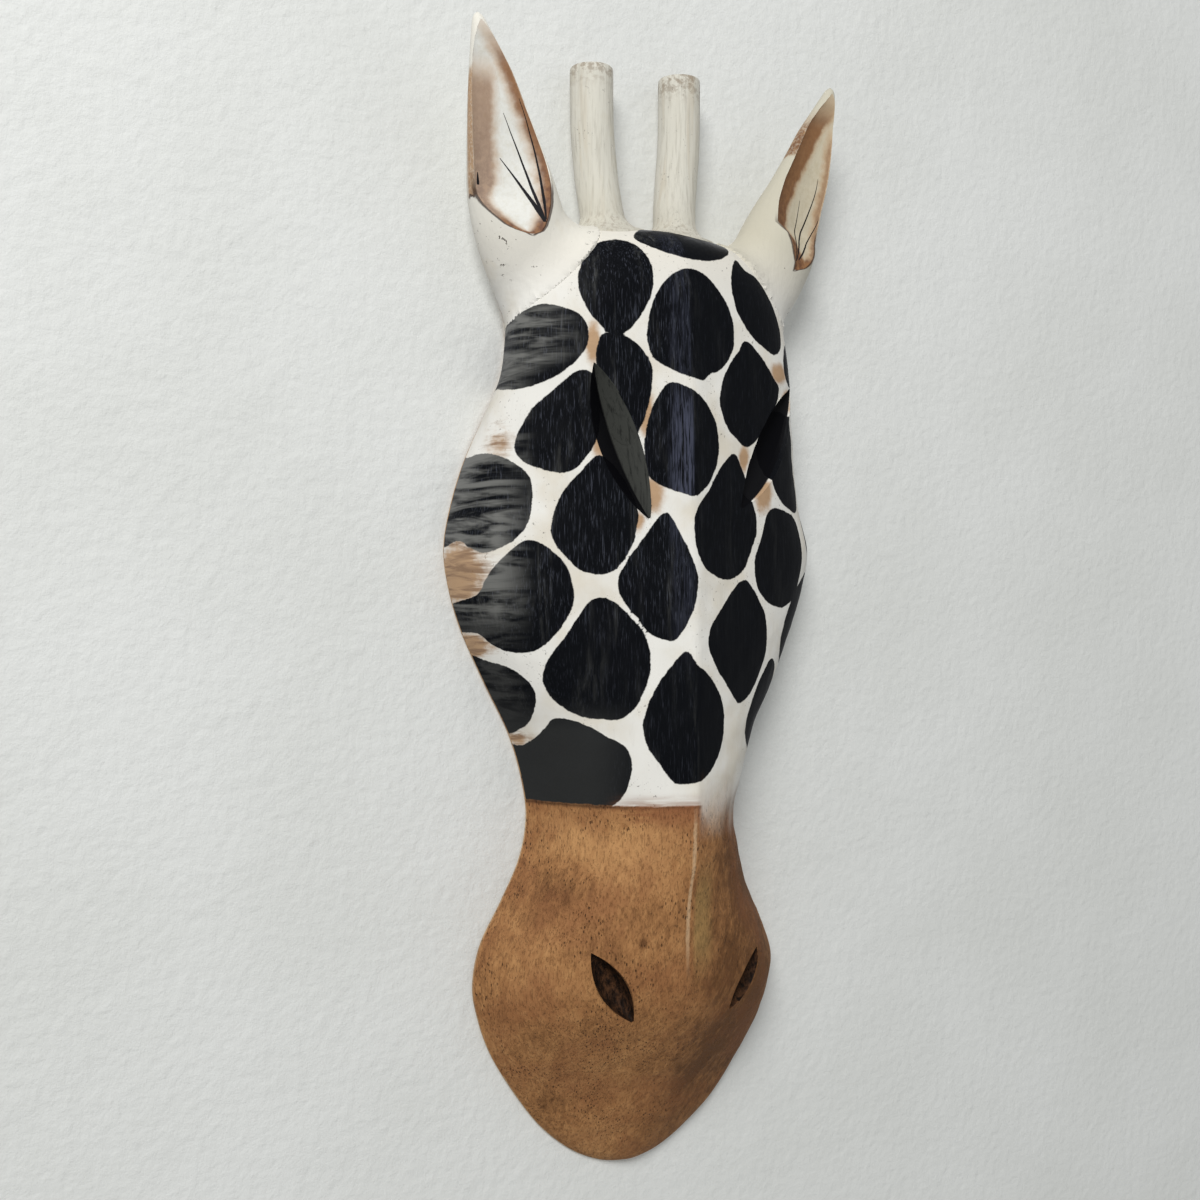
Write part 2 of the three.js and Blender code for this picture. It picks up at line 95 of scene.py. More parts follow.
# Outlines of the painted spots on the unrolled face, as (girth from the ridge, height) round each
# spot. Girth is negative on the viewer's left.
SPOTS = (
    ((-22, 10), (-12, 4.5), (3, 1.8), (17, 3.5), (25, 6.5), (31, 12), (26, 17.5), (8, 19), (-10, 17.5)),
    ((-40, 5.8), (-27, 8), (-19.5, 2.5), (-17, -8), (-21, -21), (-33, -34), (-44, -28), (-50.3, -16),
     (-49, -5)),
    ((2, -2.7), (-9, -6.5), (-17, -17), (-20.7, -31), (-18.5, -42), (-8, -48), (5, -51), (10, -48),
     (18, -44.5), (25, -34), (23.5, -20), (13, -7)),
    ((32, 6), (27, 1), (25, -9), (29, -20), (38, -29), (48, -33.5), (54, -34.5), (60, -31), (61, -22),
     (54, -10), (45, -1), (36, 2)),
    ((-116, -21), (-98, -21), (-81, -25), (-66, -21.5), (-50.5, -26), (-47, -36), (-51, -44),
     (-61, -52), (-76, -57), (-98, -55.5), (-116, -56)),
    ((-40, -33.5), (-29, -34.8), (-22, -41), (-18.8, -48), (-20, -60), (-24, -72), (-30, -80),
     (-40, -66), (-43.5, -50), (-43.5, -40)),
    ((-52, -50), (-63, -58.5), (-72, -67), (-78.5, -80), (-74, -88), (-58, -92.5), (-49, -87),
     (-42, -74), (-41, -60), (-45, -51)),
    ((-11, -53), (-17, -60), (-21.5, -72), (-22.5, -86), (-19, -95), (-3, -101), (4, -99.5), (11, -93),
     (16, -81), (13.5, -69), (7, -60), (-3, -54.5)),
    ((33, -31), (28, -36), (20, -46), (16, -58), (20, -69), (28, -75), (36, -77.5), (48, -68),
     (58, -52), (52, -45), (42, -36)),
    ((26, -81.5), (19, -86), (10, -97), (1, -108), (0, -118), (4, -130), (13, -135.5), (23, -137),
     (34, -132), (41, -120), (43, -111), (39, -100), (32, -88)),
    ((70, -59), (63, -62), (57, -70), (53, -84), (57, -95), (66, -102), (80, -105), (84, -97),
     (78, -85), (74, -70)),
    ((57, -104), (51, -107), (46, -119), (42, -129), (43, -139), (50, -146), (62, -149.5), (73, -147),
     (80, -140), (83, -128), (81, -115), (76, -107.5), (67, -105)),
    ((68, -28), (63, -34), (63, -42), (68, -47), (76, -46), (80, -38), (76, -30)),
    ((-120, -88), (-102, -84.5), (-90, -84), (-80, -87.5), (-72, -94), (-71, -104), (-73, -114),
     (-79, -121), (-90, -126), (-98, -124), (-104, -121), (-120, -121)),
    ((-42, -85), (-50, -91.5), (-58, -101), (-62.5, -112), (-62.5, -120), (-56, -129), (-48, -134.5),
     (-37, -134), (-30, -126), (-26, -116), (-26, -105), (-31, -93)),
    ((-12, -109), (-15, -109.5), (-21, -117), (-30, -129), (-34.5, -138), (-32, -147), (-26, -154),
     (-21, -160), (-12, -163.5), (-7, -160), (-1, -149), (1, -137), (-2, -127), (-8, -115)),
    ((-73, -121), (-80, -125), (-89, -134), (-96, -144), (-114, -149), (-114, -159), (-97, -160.5),
     (-88, -166), (-76, -168.5), (-66, -165), (-56, -153), (-53.5, -143), (-57, -131), (-66, -123)),
    ((-43, -145), (-48, -148), (-57, -161), (-65, -172), (-67, -181), (-62, -189), (-52, -195),
     (-42, -196.5), (-33, -196), (-26, -189), (-21.5, -178), (-21, -168), (-25, -158), (-36, -147)),
    ((-5, -168), (-11, -173), (-19, -184), (-24, -196), (-23, -207), (-17, -216), (-11, -223.5),
     (-4, -224.5), (5, -222), (14, -214), (18.5, -203), (18.5, -194), (13, -184), (6, -177.5),
     (0, -174)),
    ((34, -137), (28, -139.5), (19, -148), (10, -157), (7.5, -165), (12, -174), (20, -183), (27, -190),
     (32, -191.5), (41, -187), (48, -179), (52.5, -168), (50.5, -154), (44, -145), (38, -139)),
    ((-112, -172), (-92, -172.5), (-80, -176), (-72, -183), (-71, -190), (-76, -199), (-86, -204),
     (-96, -205), (-112, -203)),
    ((-62, -196.5), (-49, -199), (-40, -204), (-32, -208.5), (-29, -217), (-31, -227), (-37, -234),
     (-44, -235.5), (-55, -235), (-96, -236), (-96, -212), (-80, -209), (-70, -203)),
    ((59, -173), (52, -179), (44, -189), (39.5, -200), (43, -209), (51, -213.5), (60, -213),
     (68, -206), (72, -192), (68, -178)),
    ((93, -133), (84, -137), (74, -147), (68.5, -160), (69.5, -170), (75, -175), (84, -175),
     (93, -167), (98, -150), (98, -138)),
    ((97, -99), (90, -107), (90, -118), (96, -126), (110, -126), (114, -112), (107, -101)),
    ((95, -66), (90, -76), (93, -88), (103, -91), (109, -80), (103, -67)),
    ((81, -184), (76, -192), (79, -203), (90, -204), (92, -190), (88, -183)),
)
SPOT_REACH = 12.0  # distances from a spot are told apart up to here
PAINT_LINE = -234  # the white paint stops here and the stained muzzle begins

# Warm airbrushed shading: girth, height, half width, half height, strength.
TAN_PATCHES = (
    (-106, -135, 16, 15, 1.0),
    (-104, -166, 15, 6, 1.0),
    (-84, -207, 12, 4, 0.6),
    (-45, -38, 3.5, 9, 0.95),
    (-86, -80, 9, 9, 0.5),
    (-42, -80, 4.5, 8, 0.8),
    (-22, -66, 3.5, 11, 0.95),
    (-19, -101, 6, 9, 0.8),
    (-25, -112, 3, 5, 0.8),
    (57, -43, 8, 5, 0.9),
    (67, -55, 6, 6, 0.9),
    (33, -83, 4, 8, 0.8),
    (48, -97, 7, 10, 0.95),
)

# Lighter (+) and darker (-) places of the muzzle's stain, with a painted shade over its right side: girth,
# height, half sizes, strength.
MUZZLE_TONES_AND_SHADE = (
    (-18, -252, 24, 17, 0.75),
    (-56, -247, 18, 11, 0.55),
    (-62, -270, 22, 9, -0.40),
    (-14, -281, 16, 9, -0.45),
    (-21, -291.6, 1.5, 2.2, -1.5),
    (-62, -312, 26, 18, 0.20),
    (-36, -308, 9, 14, -0.15),
    (-50, -358, 4, 16, -0.50),
    (-28, -352, 20, 16, 0.15),
    (-22, -386, 22, 10, 0.30),
    # painted shade: the whole right side of the muzzle is made darker
    (44, -300, 34, 110, -0.85),
    (20, -352, 16, 26, -0.30),
)

# ---------------------------------------------------------------- cuts, ears, horns

EYES = (
    dict(upper=(-44, -43.5, -46), lower=(-19.5, -48.5, -111.5), facing=-24, skew=-0.22),
    dict(upper=(68.5, -30.5, -47), lower=(30.5, -45.2, -105.5), facing=36, rise=10),
)
NOSTRILS = (
    dict(upper=(-43, -39, -295.3), lower=(-23.9, -42.2, -326.9), facing=-22),
    dict(upper=(46, -37, -303), lower=(27.5, -40.7, -329), facing=24),
)
EYE_WIDTH, EYE_DEPTH = 20, 9.5
NOSTRIL_WIDTH, NOSTRIL_DEPTH = 11, 6

# height, distance from the middle, depth, half width, half thickness
EAR_STATIONS = np.array([
    (-33, 52, -10, 0, 0),
    (-29, 53, -10.5, 8, 7),
    (-22, 55.5, -12, 13.5, 11),
    (-12, 58, -14, 18, 13.5),
    (-3, 60.5, -16, 20.5, 15.5),
    (10, 64.8, -18, 21.5, 17.4),
    (25, 69.7, -19.5, 20, 18.4),
    (38, 73.8, -22, 17.6, 16),
    (50, 78, -25, 15, 12.8),
    (62, 81.7, -27, 12.2, 10.2),
    (74, 85, -28.5, 9.2, 7.8),
    (84, 88.3, -29.6, 6, 5.2),
    (91, 90.6, -30.3, 3.6, 3.2),
    (94.6, 91.6, -30.5, 2, 1.8),
    (96.2, 92, -30.6, 0, 0),
], float)
EAR_BACK_PLANE = -0.4
JOINT_GAP = 0.3
# The scoop's rims at some heights, in degrees round the ear from straight ahead, positive away
# from the middle of the mask: the outer rim, then the inner rim of the left and the right ear.
SCOOP_RIMS = (
    (6.5, 13, 11, 11),
    (8.5, 32, -2, 10),
    (10.5, 42, -7, 8),
    (15, 57, -15, -1),
    (19, 69, -22, -8),
    (23, 78, -28, -17),
    (28, 80, -36, -38),
    (38, 80, -49, -49),
    (50, 80, -59, -59),
    (78, 80, -62, -62),
    (85, 66, -50, -50),
    (90, 40, -25, -25),
    (92.5, 14, -4, -4),
)
OUTER_RIM, INNER_RIM = 1, {"left": 2, "right": 3}  # columns of SCOOP_RIMS
SCOOP_SAG = ((50, 0.13), (80, 0.09), (92, 0.03))  # the scoop's depth at some heights, by its width
SCOOP_FACING = 10
# Painted strokes in the scoop: bottom and top height, then the distance to the viewer's right of
# the ear's middle at the bottom, its bend and lean up to the top, and the half width.
EAR_STROKES = {
    "left": (
        (12, 40, 5.8, -8.5, -1.4, 1.15),
        (12.5, 58.3, 6.1, -6.6, 2.3, 0.75),
        (13, 64.4, 6.4, -13.7, 16.7, 0.6),
        (27, 33.5, -16.7, 0, 1.2, 0.8),
    ),
    "right": (
        (10.7, 43.3, 1.5, -10.8, 12.1, 0.6),
        (11.3, 53.6, 2.3, -18.3, 24.7, 0.7),
        (11.6, 37.3, 3.9, -16.5, 29.1, 0.6),
    ),
}

HORN_RADIUS = 9.7
# Each horn's top, then the points of its root: shift towards the middle, depth, height.
HORN_TOPS = {"left": (-27.3, -12, 90.2), "right": (19, -12, 92.8)}
HORN_ROUTE = (
    (0.3, -12, 64),
    (2, -12.2, 44),
    (3.4, -13.1, 32),
    (4.4, -15, 21),
    (5.2, -17.4, 12),
    (5.8, -20, 4),
)

POCKET = dict(half_width=14, top=7, bottom=-46, depth=6)
WIRE_RADIUS = 1.2
RING = dict(top_radius=9.4, bar_drop=18, corner=2.4)
STRAP = dict(width=12, thickness=1.2, length=25, loop_gap=0.35, corner=3.0, bevel=0.22, curl_end=-108,
             hole_radius=1.8)
SCREW = dict(head_radius=3, head_height=1.6, shank_radius=1.5, length=14, tip=3, pitch=0.9, root=0.72)
RECESS = dict(half_length=1.7, half_width=0.34, depth=0.95)
SCREW_DROPS = (7, 18)  # below the ring's bar
BAR_HEIGHT = WIRE_RADIUS - RING["bar_drop"]
BAR_DEPTH = -POCKET["depth"] + JOINT_GAP + WIRE_RADIUS + STRAP["loop_gap"] + STRAP["thickness"]
SCREW_SEAT = -POCKET["depth"] + STRAP["thickness"] + 2 * JOINT_GAP

SIGN = {"left": -1, "right": 1}


# ---------------------------------------------------------------- curve and mesh helpers

def spline(a, b, c, d, f):
    """The Catmull-Rom curve at share f of the way from b to c, between their neighbours a and d."""
    return 0.5 * (2 * b + (c - a) * f + (2 * a - 5 * b + 4 * c - d) * f * f
                  + (3 * b - 3 * c + d - a) * f ** 3)


def catmull_rom(table, t):
    """Smooth rows of a table at positions t, given in row numbers."""
    t = np.asarray(t, float)
    count = len(table)
    index = np.clip(np.floor(t).astype(int), 0, count - 2)
    f = (t - index)[..., None]
    b, c = table[index], table[index + 1]
    a = np.where((index == 0)[..., None], 2 * b - c, table[np.maximum(index - 1, 0)])
    d = np.where((index == count - 2)[..., None], 2 * c - b, table[np.minimum(index + 2, count - 1)])
    return spline(a, b, c, d, f)


def rows_at(table, heights, samples):
    """Smooth rows of a table at these heights, looked up among samples along it."""
    dense = np.linspace(0, len(table) - 1, samples)
    found = np.interp(heights, catmull_rom(table, dense)[:, 0], dense)
    return catmull_rom(table, found)


def even_positions(table, columns, step):
    """Row positions that lie about step apart along the table's path through these columns."""
    dense = np.linspace(0, len(table) - 1, 4000)
    path = catmull_rom(table, dense)[:, columns]
    travelled = np.concatenate(([0], np.cumsum(np.linalg.norm(np.diff(path, axis=0), axis=1))))
    count = max(4, round(travelled[-1] / step))
    return np.interp(np.linspace(0, travelled[-1], count + 1), travelled, dense)


def unit(vector):
    vector = np.asarray(vector, float)
    return vector / np.linalg.norm(vector)


def full_turn(count):
    """Evenly spaced angles once round, in radians."""
    return np.linspace(0, 2 * np.pi, count + 1)[:-1]


def add_object(name, data):
    obj = bpy.data.objects.new(name, data)
    bpy.context.scene.collection.objects.link(obj)
    return obj


def mesh_object(name, points, faces):
    """A mesh object from points in millimetres."""
    mesh = bpy.data.meshes.new(name)
    mesh.from_pydata((np.asarray(points, float) * MM).tolist(), [], faces)
    mesh.validate()
    obj = add_object(name, mesh)
    bm = bmesh.new()
    bm.from_mesh(mesh)
    bmesh.ops.remove_doubles(bm, verts=bm.verts, dist=1e-7)
    bmesh.ops.dissolve_degenerate(bm, edges=bm.edges, dist=1e-8)
    bmesh.ops.recalc_face_normals(bm, faces=bm.faces)
    bm.to_mesh(mesh)
    bm.free()
    return obj


def faces_between(count, around, closed=False):
    """Quads between rings of points in order. closed joins the last ring to the first."""
    faces = []
    for i in range(count if closed else count - 1):
        n = (i + 1) % count
        for j in range(around):
            k = (j + 1) % around
            faces.append((i * around + j, i * around + k, n * around + k, n * around + j))
    return faces


def loft(name, rings, cap_points):
    """A closed mesh through rings of equal point counts, closed on one point at each end."""
    rings = np.asarray(rings, float)
    count, around, _ = rings.shape
    points = np.concatenate([rings.reshape(-1, 3), np.asarray(cap_points, float)])
    first, last = count * around, count * around + 1
    faces = faces_between(count, around)
    top = (count - 1) * around
    for j in range(around):
        k = (j + 1) % around
        faces.append((first, k, j))
        faces.append((last, top + j, top + k))
    return mesh_object(name, points, faces)


def cut(obj, cutters):
    """Cuts obj by other meshes, which are then removed."""
    for cutter in cutters:
        modifier = obj.modifiers.new("cut", "BOOLEAN")
        modifier.operation = "DIFFERENCE"
        modifier.solver = "MANIFOLD"
        modifier.object = cutter
        apply_modifiers(obj)
        bpy.data.objects.remove(cutter)
    return obj


def apply_modifiers(obj):
    bpy.context.view_layer.update()
    graph = bpy.context.evaluated_depsgraph_get()
    mesh = bpy.data.meshes.new_from_object(obj.evaluated_get(graph))
    obj.modifiers.clear()
    old = obj.data
    obj.data = mesh
    bpy.data.meshes.remove(old)


def keep_largest(obj):
    """Drops the loose slivers that a cut can leave."""
    bm = bmesh.new()
    bm.from_mesh(obj.data)
    bm.verts.ensure_lookup_table()
    unseen = set(bm.verts)
    islands = []
    while unseen:
        stack = [unseen.pop()]
        island = set(stack)
        while stack:
            for edge in stack.pop().link_edges:
                for vert in edge.verts:
                    if vert not in island:
                        island.add(vert)
                        stack.append(vert)
        unseen -= island
        islands.append(island)
    largest = max(islands, key=len)
    loose = [vert for vert in bm.verts if vert not in largest]
    bmesh.ops.delete(bm, geom=loose, context="VERTS")
    bm.to_mesh(obj.data)
    bm.free()


def surface_tree(obj):
    """For finding the nearest place on obj, in metres."""
    bpy.context.view_layer.update()
    return BVHTree.FromObject(obj, bpy.context.evaluated_depsgraph_get())


def normals_of(obj):
    normals = np.empty(len(obj.data.vertices) * 3)
    obj.data.vertex_normals.foreach_get("vector", normals)
    return normals.reshape(-1, 3)


def points_of(obj):
    co = np.empty(len(obj.data.vertices) * 3)
    obj.data.vertices.foreach_get("co", co)
    return co.reshape(-1, 3) / MM


def set_points(obj, points):
    obj.data.vertices.foreach_set("co", (points * MM).astype(np.float32).ravel())
    obj.data.update()


def set_attribute(obj, name, values):
    attribute = obj.data.attributes.new(name, "FLOAT", "POINT")
    attribute.data.foreach_set("value", np.asarray(values, np.float32))


def smooth_shade(obj, sharp_degrees=32):
    obj.data.polygons.foreach_set("use_smooth", [True] * len(obj.data.polygons))
    obj.data.set_sharp_from_angle(angle=math.radians(sharp_degrees))


def waves(points, sizes, strength, seed):
    """A smooth pseudo-random height over points, from a few crossing sine waves."""
    draw = np.random.default_rng(seed)
    total = np.zeros(len(points))
    for size in sizes:
        for _ in range(4):
            direction = unit(draw.normal(size=3))
            phase = draw.uniform(0, 2 * np.pi)
            total += np.sin(points @ direction * 2 * np.pi / size + phase) * size
    return strength * total / (4 * sum(sizes)) * 2


# ---------------------------------------------------------------- head

def face_points(stations, side):
    """Points of head sections: side runs from -1 at the left edge over the ridge (0) to 1."""
    height, half_width, drift, ridge, bulge, bulge_height, brow_angle = np.moveaxis(stations, -1, 0)
    t = np.abs(side)
    wear = np.interp(height, *np.array(RIDGE_WEAR, float).T)
    worn = np.sqrt(t * t + (wear * (1 - t)) ** 2)
    brow_x = 0.5 * half_width
    brow_y = ridge - brow_x * np.tan(np.radians(brow_angle))
    x = (3 * t * (1 - t) ** 2 * brow_x + 3 * t * t * (1 - t) * (half_width + bulge)
         + t ** 3 * half_width)
    depth = ((1 - worn) ** 3 * ridge + 3 * worn * (1 - worn) ** 2 * brow_y
             + 3 * worn * worn * (1 - worn) * bulge_height * ridge)
    return np.stack([np.sign(side) * x + drift, -depth, height + 0 * x], -1)


def head_rings(stations, side_count, back_plane):
    """Whole closed sections: over the face from left to right, then back along the wall."""
    sides = np.linspace(-1, 1, side_count)
    grid = face_points(stations[:, None, :], sides[None, :])
    half_width, drift = stations[:, 1], stations[:, 2]
    back = []
    for share in (1, 1 / 3, -1 / 3, -1):
        x = drift + share * half_width
        back.append(np.stack([x, np.full_like(x, back_plane), stations[:, 0]], -1))
    if back_plane == 0:
        back = back[1:-1]
    return np.concatenate([grid, np.stack(back, 1)], 1)


def stations_at(heights):
    return rows_at(HEAD_STATIONS, heights, 6000)


def head_loft(name, stations, side_count, back_plane):
    """A closed solid through head sections, ending on a point inside the first and the last."""
    ends = [(row[2], -0.4 * row[3], row[0]) for row in (stations[0], stations[-1])]
    return loft(name, head_rings(stations, side_count, back_plane), ends)


def head_outside(name, margin, step):
    table = HEAD_STATIONS.copy()
    table[:, (1, 3)] += margin
    stations = catmull_rom(table, even_positions(table, (0, 1, 3), step))
    return head_loft(name, stations, 2 * round(HALF_GIRTH / step) + 1, 0 if margin == 0 else PAST_WALL)


def hollow_cutter(step):
    """The hollow behind: the outside, a wall thickness in, with rounded ends and gouge marks."""
    heights = np.linspace(HOLLOW_BOTTOM, HOLLOW_TOP, round((HOLLOW_TOP - HOLLOW_BOTTOM) / step))
    stations = stations_at(heights)
    from_end = np.minimum(heights - HOLLOW_BOTTOM, HOLLOW_TOP - heights) / HOLLOW_END_ROUND
    fullness = 0.5 + 0.5 * np.sqrt(1 - (1 - np.minimum(from_end, 1)) ** 2)
    stations[:, 1] = fullness * (stations[:, 1] - WALL_THICKNESS)
    stations[:, 3] = fullness * (stations[:, 3] - WALL_THICKNESS)
    hollow = head_loft("hollow", stations, 2 * round(HOLLOW_HALF_GIRTH / step) + 1, PAST_WALL)
    points = points_of(hollow)
    depth_share = np.clip(-points[:, 1] / 12, 0, 1)
    gouges = np.abs(np.sin(points[:, 0] / 4.6 + 0.5 * np.sin(points[:, 2] / 31)))
    scallops = np.abs(np.sin(points[:, 2] / 9.5 + 0.9 * np.sin(points[:, 0] / 13)))
    points[:, 1] -= depth_share * (0.9 * gouges + 0.7 * scallops)
    set_points(hollow, points)
    return hollow


def surface_coordinates(points):
    """Girth from the ridge and distance from the uncut face, for each point of the head."""
    stations = stations_at(points[:, 2])
    ridge, last, batch = 180, 360, 4000
    sides = np.linspace(-1, 1, last + 1)
    girth = np.empty(len(points))
    away = np.empty(len(points))
    for start in range(0, len(points), batch):
        part = slice(start, start + batch)
        curve = face_points(stations[part][:, None, :], sides[None, :])
        gaps = np.linalg.norm(curve - points[part][:, None, :], axis=2)
        near = gaps.argmin(1)
        steps = np.linalg.norm(np.diff(curve, axis=1), axis=2)
        travelled = np.concatenate([np.zeros((len(steps), 1)), np.cumsum(steps, 1)], 1)
        row = np.arange(len(near))
        tangent = curve[row, np.minimum(near + 1, last)] - curve[row, np.maximum(near - 1, 0)]
        tangent /= np.linalg.norm(tangent, axis=1)[:, None] + 1e-9
        offset = points[part] - curve[row, near]
        along = (offset * tangent).sum(1)
        girth[part] = travelled[row, near] + along - travelled[:, ridge]
        away[part] = np.sqrt(np.maximum((offset ** 2).sum(1) - along ** 2, 0))
    return girth, away


def leaf_cutter(name, upper, lower, facing, width, depth, keel=1.0, rise=4.0, step=0.8, skew=0.0):
    """A leaf-shaped cutter between two tips. keel 1 gives a V-shaped cut and 2 a round-bottomed one.

    skew shifts the deepest line towards one edge, as a share of the half width.
    """
    upper, lower = np.asarray(upper, float), np.asarray(lower, float)
    length = np.linalg.norm(upper - lower)
    along = unit(upper - lower)
    angle = math.radians(facing)
    outward = np.array([math.sin(angle), -math.cos(angle), 0.0])
    across = unit(np.cross(along, outward))
    normal = np.cross(across, along)
    middle = (upper + lower) / 2
    count = max(16, round(length / step))
    turns = np.linspace(0, math.pi, max(9, 2 * round(width / step / 2) + 1))
    rings = []
    for share in np.linspace(-1, 1, count + 1)[1:-1]:
        half = 0.5 * width * (1 - share * share) ** 0.92
        deep = depth * (1 - share * share) ** 0.7
        centre = middle + along * share * length / 2
        flare = 1 + rise / depth * 0.35
        ring = [(half * flare, rise)]
        for turn, across_share in zip(turns, np.cos(turns)):
            if keel <= 1:
                fall = 1 - abs(across_share)
            else:
                fall = math.sin(turn) ** 0.9
            ring.append((half * across_share + skew * half * fall, -deep * fall))
        ring.append((-half * flare, rise))
        rings.append([centre + across * p + normal * q for p, q in ring])
    ends = [middle + along * share * (length / 2 + 0.01) for share in (-1, 1)]
    return loft(name, rings, ends)


def closed_curve(outline, per_span=7):
    """A smooth closed curve through the points of an outline."""
    b = np.array(outline, float)
    a, c, d = np.roll(b, 1, 0), np.roll(b, -1, 0), np.roll(b, -2, 0)
    f = (np.arange(per_span) / per_span)[None, :, None]
    return spline(*(part[:, None, :] for part in (a, b, c, d)), f).reshape(-1, 2)


def spot_distance(girth, height):
    """Distance outside the nearest painted spot in millimetres, negative inside it."""
    places = np.c_[girth, height]
    best = np.full(len(places), SPOT_REACH)
    for outline in SPOTS:
        start = closed_curve(outline)
        end = np.roll(start, -1, 0)
        low, high = start.min(0) - SPOT_REACH, start.max(0) + SPOT_REACH
        near = np.flatnonzero(((places > low) & (places < high)).all(1))
        if not len(near):
            continue
        place = places[near][:, None, :]
        edge = (end - start)[None]
        share = ((place - start[None]) * edge).sum(2) / (edge ** 2).sum(2)
        offset = place - start[None] - np.clip(share, 0, 1)[..., None] * edge
        gap = np.sqrt((offset ** 2).sum(2).min(1))
        above = (start[:, 1] > place[..., 1]) != (end[:, 1] > place[..., 1])
        rise = np.where(start[:, 1] == end[:, 1], 1, end[:, 1] - start[:, 1])
        crossing = start[:, 0] + (place[..., 1] - start[:, 1]) * (end[:, 0] - start[:, 0]) / rise
        inside = ((above & (place[..., 0] < crossing)).sum(1) % 2) == 1
        best[near] = np.minimum(best[near], np.where(inside, -gap, gap))
    return best


def soft_patches(table, girth, height):
    """The strength of each row's soft oval patch at each place, a column per row."""
    table = np.array(table, float)
    away = ((girth[:, None] - table[:, 0]) / table[:, 2]) ** 2
    away += ((height[:, None] - table[:, 1]) / table[:, 3]) ** 2
    return table[:, 4] * np.exp(-away)


def horn_route(side):
    top = HORN_TOPS[side]
    root = [(top[0] - SIGN[side] * shift, y, z) for shift, y, z in HORN_ROUTE]
    return np.array([top, *root], float)


def horn_rings(side, extra, step):
    """Round sections along a horn's route, from its top down into the crown."""
    route = horn_route(side)
    path = catmull_rom(route, even_positions(route, (0, 1, 2), step))
    tangent = np.gradient(path, axis=0)
    turns = full_turn(48)[:, None]
    rings = []
    for middle, along in zip(path, tangent):
        back = unit(np.cross((1, 0, 0), along))
        right = unit(np.cross(along, back))
        rings.append(middle + (HORN_RADIUS + extra) * (np.cos(turns) * right + np.sin(turns) * back))
    return np.array(rings), [path[0], path[-1]]


def box_cutter(low, high):
    corners = [(x, y, z) for x in (low[0], high[0]) for y in (low[1], high[1]) for z in (low[2], high[2])]
    faces = [(0, 1, 3, 2), (4, 6, 7, 5), (0, 4, 5, 1), (2, 3, 7, 6), (0, 2, 6, 4), (1, 5, 7, 3)]
    return mesh_object("box", corners, faces)


def build_head():
    head = head_outside("carved_head", 0, HEAD_STEP)
    cutters = [hollow_cutter(2.2)]
    hollow = surface_tree(cutters[0])
    wide = POCKET["half_width"]
    cutters.append(box_cutter((-wide, -POCKET["depth"], POCKET["bottom"]),
                              (wide, PAST_WALL, POCKET["top"])))
    for index, eye in enumerate(EYES):
        cutters.append(leaf_cutter(f"eye_{index}", width=EYE_WIDTH, depth=EYE_DEPTH, **eye))
    for index, nostril in enumerate(NOSTRILS):
        cutters.append(leaf_cutter(f"nostril_{index}", width=NOSTRIL_WIDTH, depth=NOSTRIL_DEPTH,
                                   keel=2, **nostril))
    for side in SIGN:
        rings, ends = horn_rings(side, JOINT_GAP, 3)
        cutters.append(loft("socket", rings, ends))
    cut(head, cutters)
    keep_largest(head)
    points = points_of(head)
    girth, away = surface_coordinates(points)
    on_face = (away < ON_FACE) & (points[:, 1] < -0.5)
    height = points[:, 2]
    # slow undulation of the hand-carved face, fading out where it meets the wall
    lift = waves(points, (70, 34), 0.45, 3) + waves(points, (15, 9), 0.16, 4)
    fade = np.clip(-points[:, 1] / 10, 0, 1) * on_face
    # the face is left true where the ears and horns are filled in
    filled = 34 * np.clip((np.abs(points[:, 0]) - 30) / 15, 0, 1)
    fade *= np.clip((-4 - filled - height) / 14, 0, 1)
    normals = normals_of(head)
    set_points(head, points - normals * (np.abs(lift) * fade)[:, None])
    set_attribute(head, "girth", girth)
    set_attribute(head, "spot", spot_distance(girth, height))
    set_attribute(head, "tan", soft_patches(TAN_PATCHES, girth, height).max(1))
    set_attribute(head, "tone", soft_patches(MUZZLE_TONES_AND_SHADE, girth, height).sum(1))
    near_front = (away > ON_FACE) & (away < 12) & (points[:, 1] < -14)
    notch = np.zeros(len(points))
    for leaf in EYES + NOSTRILS:
        middle = (np.array(leaf["upper"]) + leaf["lower"]) / 2
        reach = np.linalg.norm(np.array(leaf["upper"]) - leaf["lower"]) / 2 + 2
        notch[near_front & (np.linalg.norm(points - middle, axis=1) < reach)] = 1
    for index in np.flatnonzero(notch):
        if hollow.find_nearest(Vector(points[index] * MM), ON_FACE * MM)[0] is not None:
            notch[index] = 0
    set_attribute(head, "notch", notch)
    set_attribute(head, "inside", ~on_face & (notch == 0))
    # the left eye's inner wall faces left, towards the light, and is marked for a painted highlight: grey
    # in place of its black paint
    set_attribute(head, "lit_eye_wall", notch * (points[:, 0] < 0) * (normals[:, 0] < 0.12))
    smooth_shade(head)
    return head


# ---------------------------------------------------------------- ears and horns

def ear_rings(side, step, around):
    stations = catmull_rom(EAR_STATIONS, even_positions(EAR_STATIONS, (0, 1, 3), step))[1:-1]
    turns = full_turn(around)
    rings = np.empty((len(stations), around, 3))
    rings[:, :, 0] = SIGN[side] * stations[:, 1:2] + stations[:, 3:4] * np.cos(turns)
    y = stations[:, 2:3] + stations[:, 4:5] * np.sin(turns)
    rings[:, :, 1] = np.minimum(y, EAR_BACK_PLANE)
    rings[:, :, 2] = stations[:, 0:1]
    ends = [(SIGN[side] * row[1], row[2], row[0]) for row in (EAR_STATIONS[0], EAR_STATIONS[-1])]
    return rings, ends


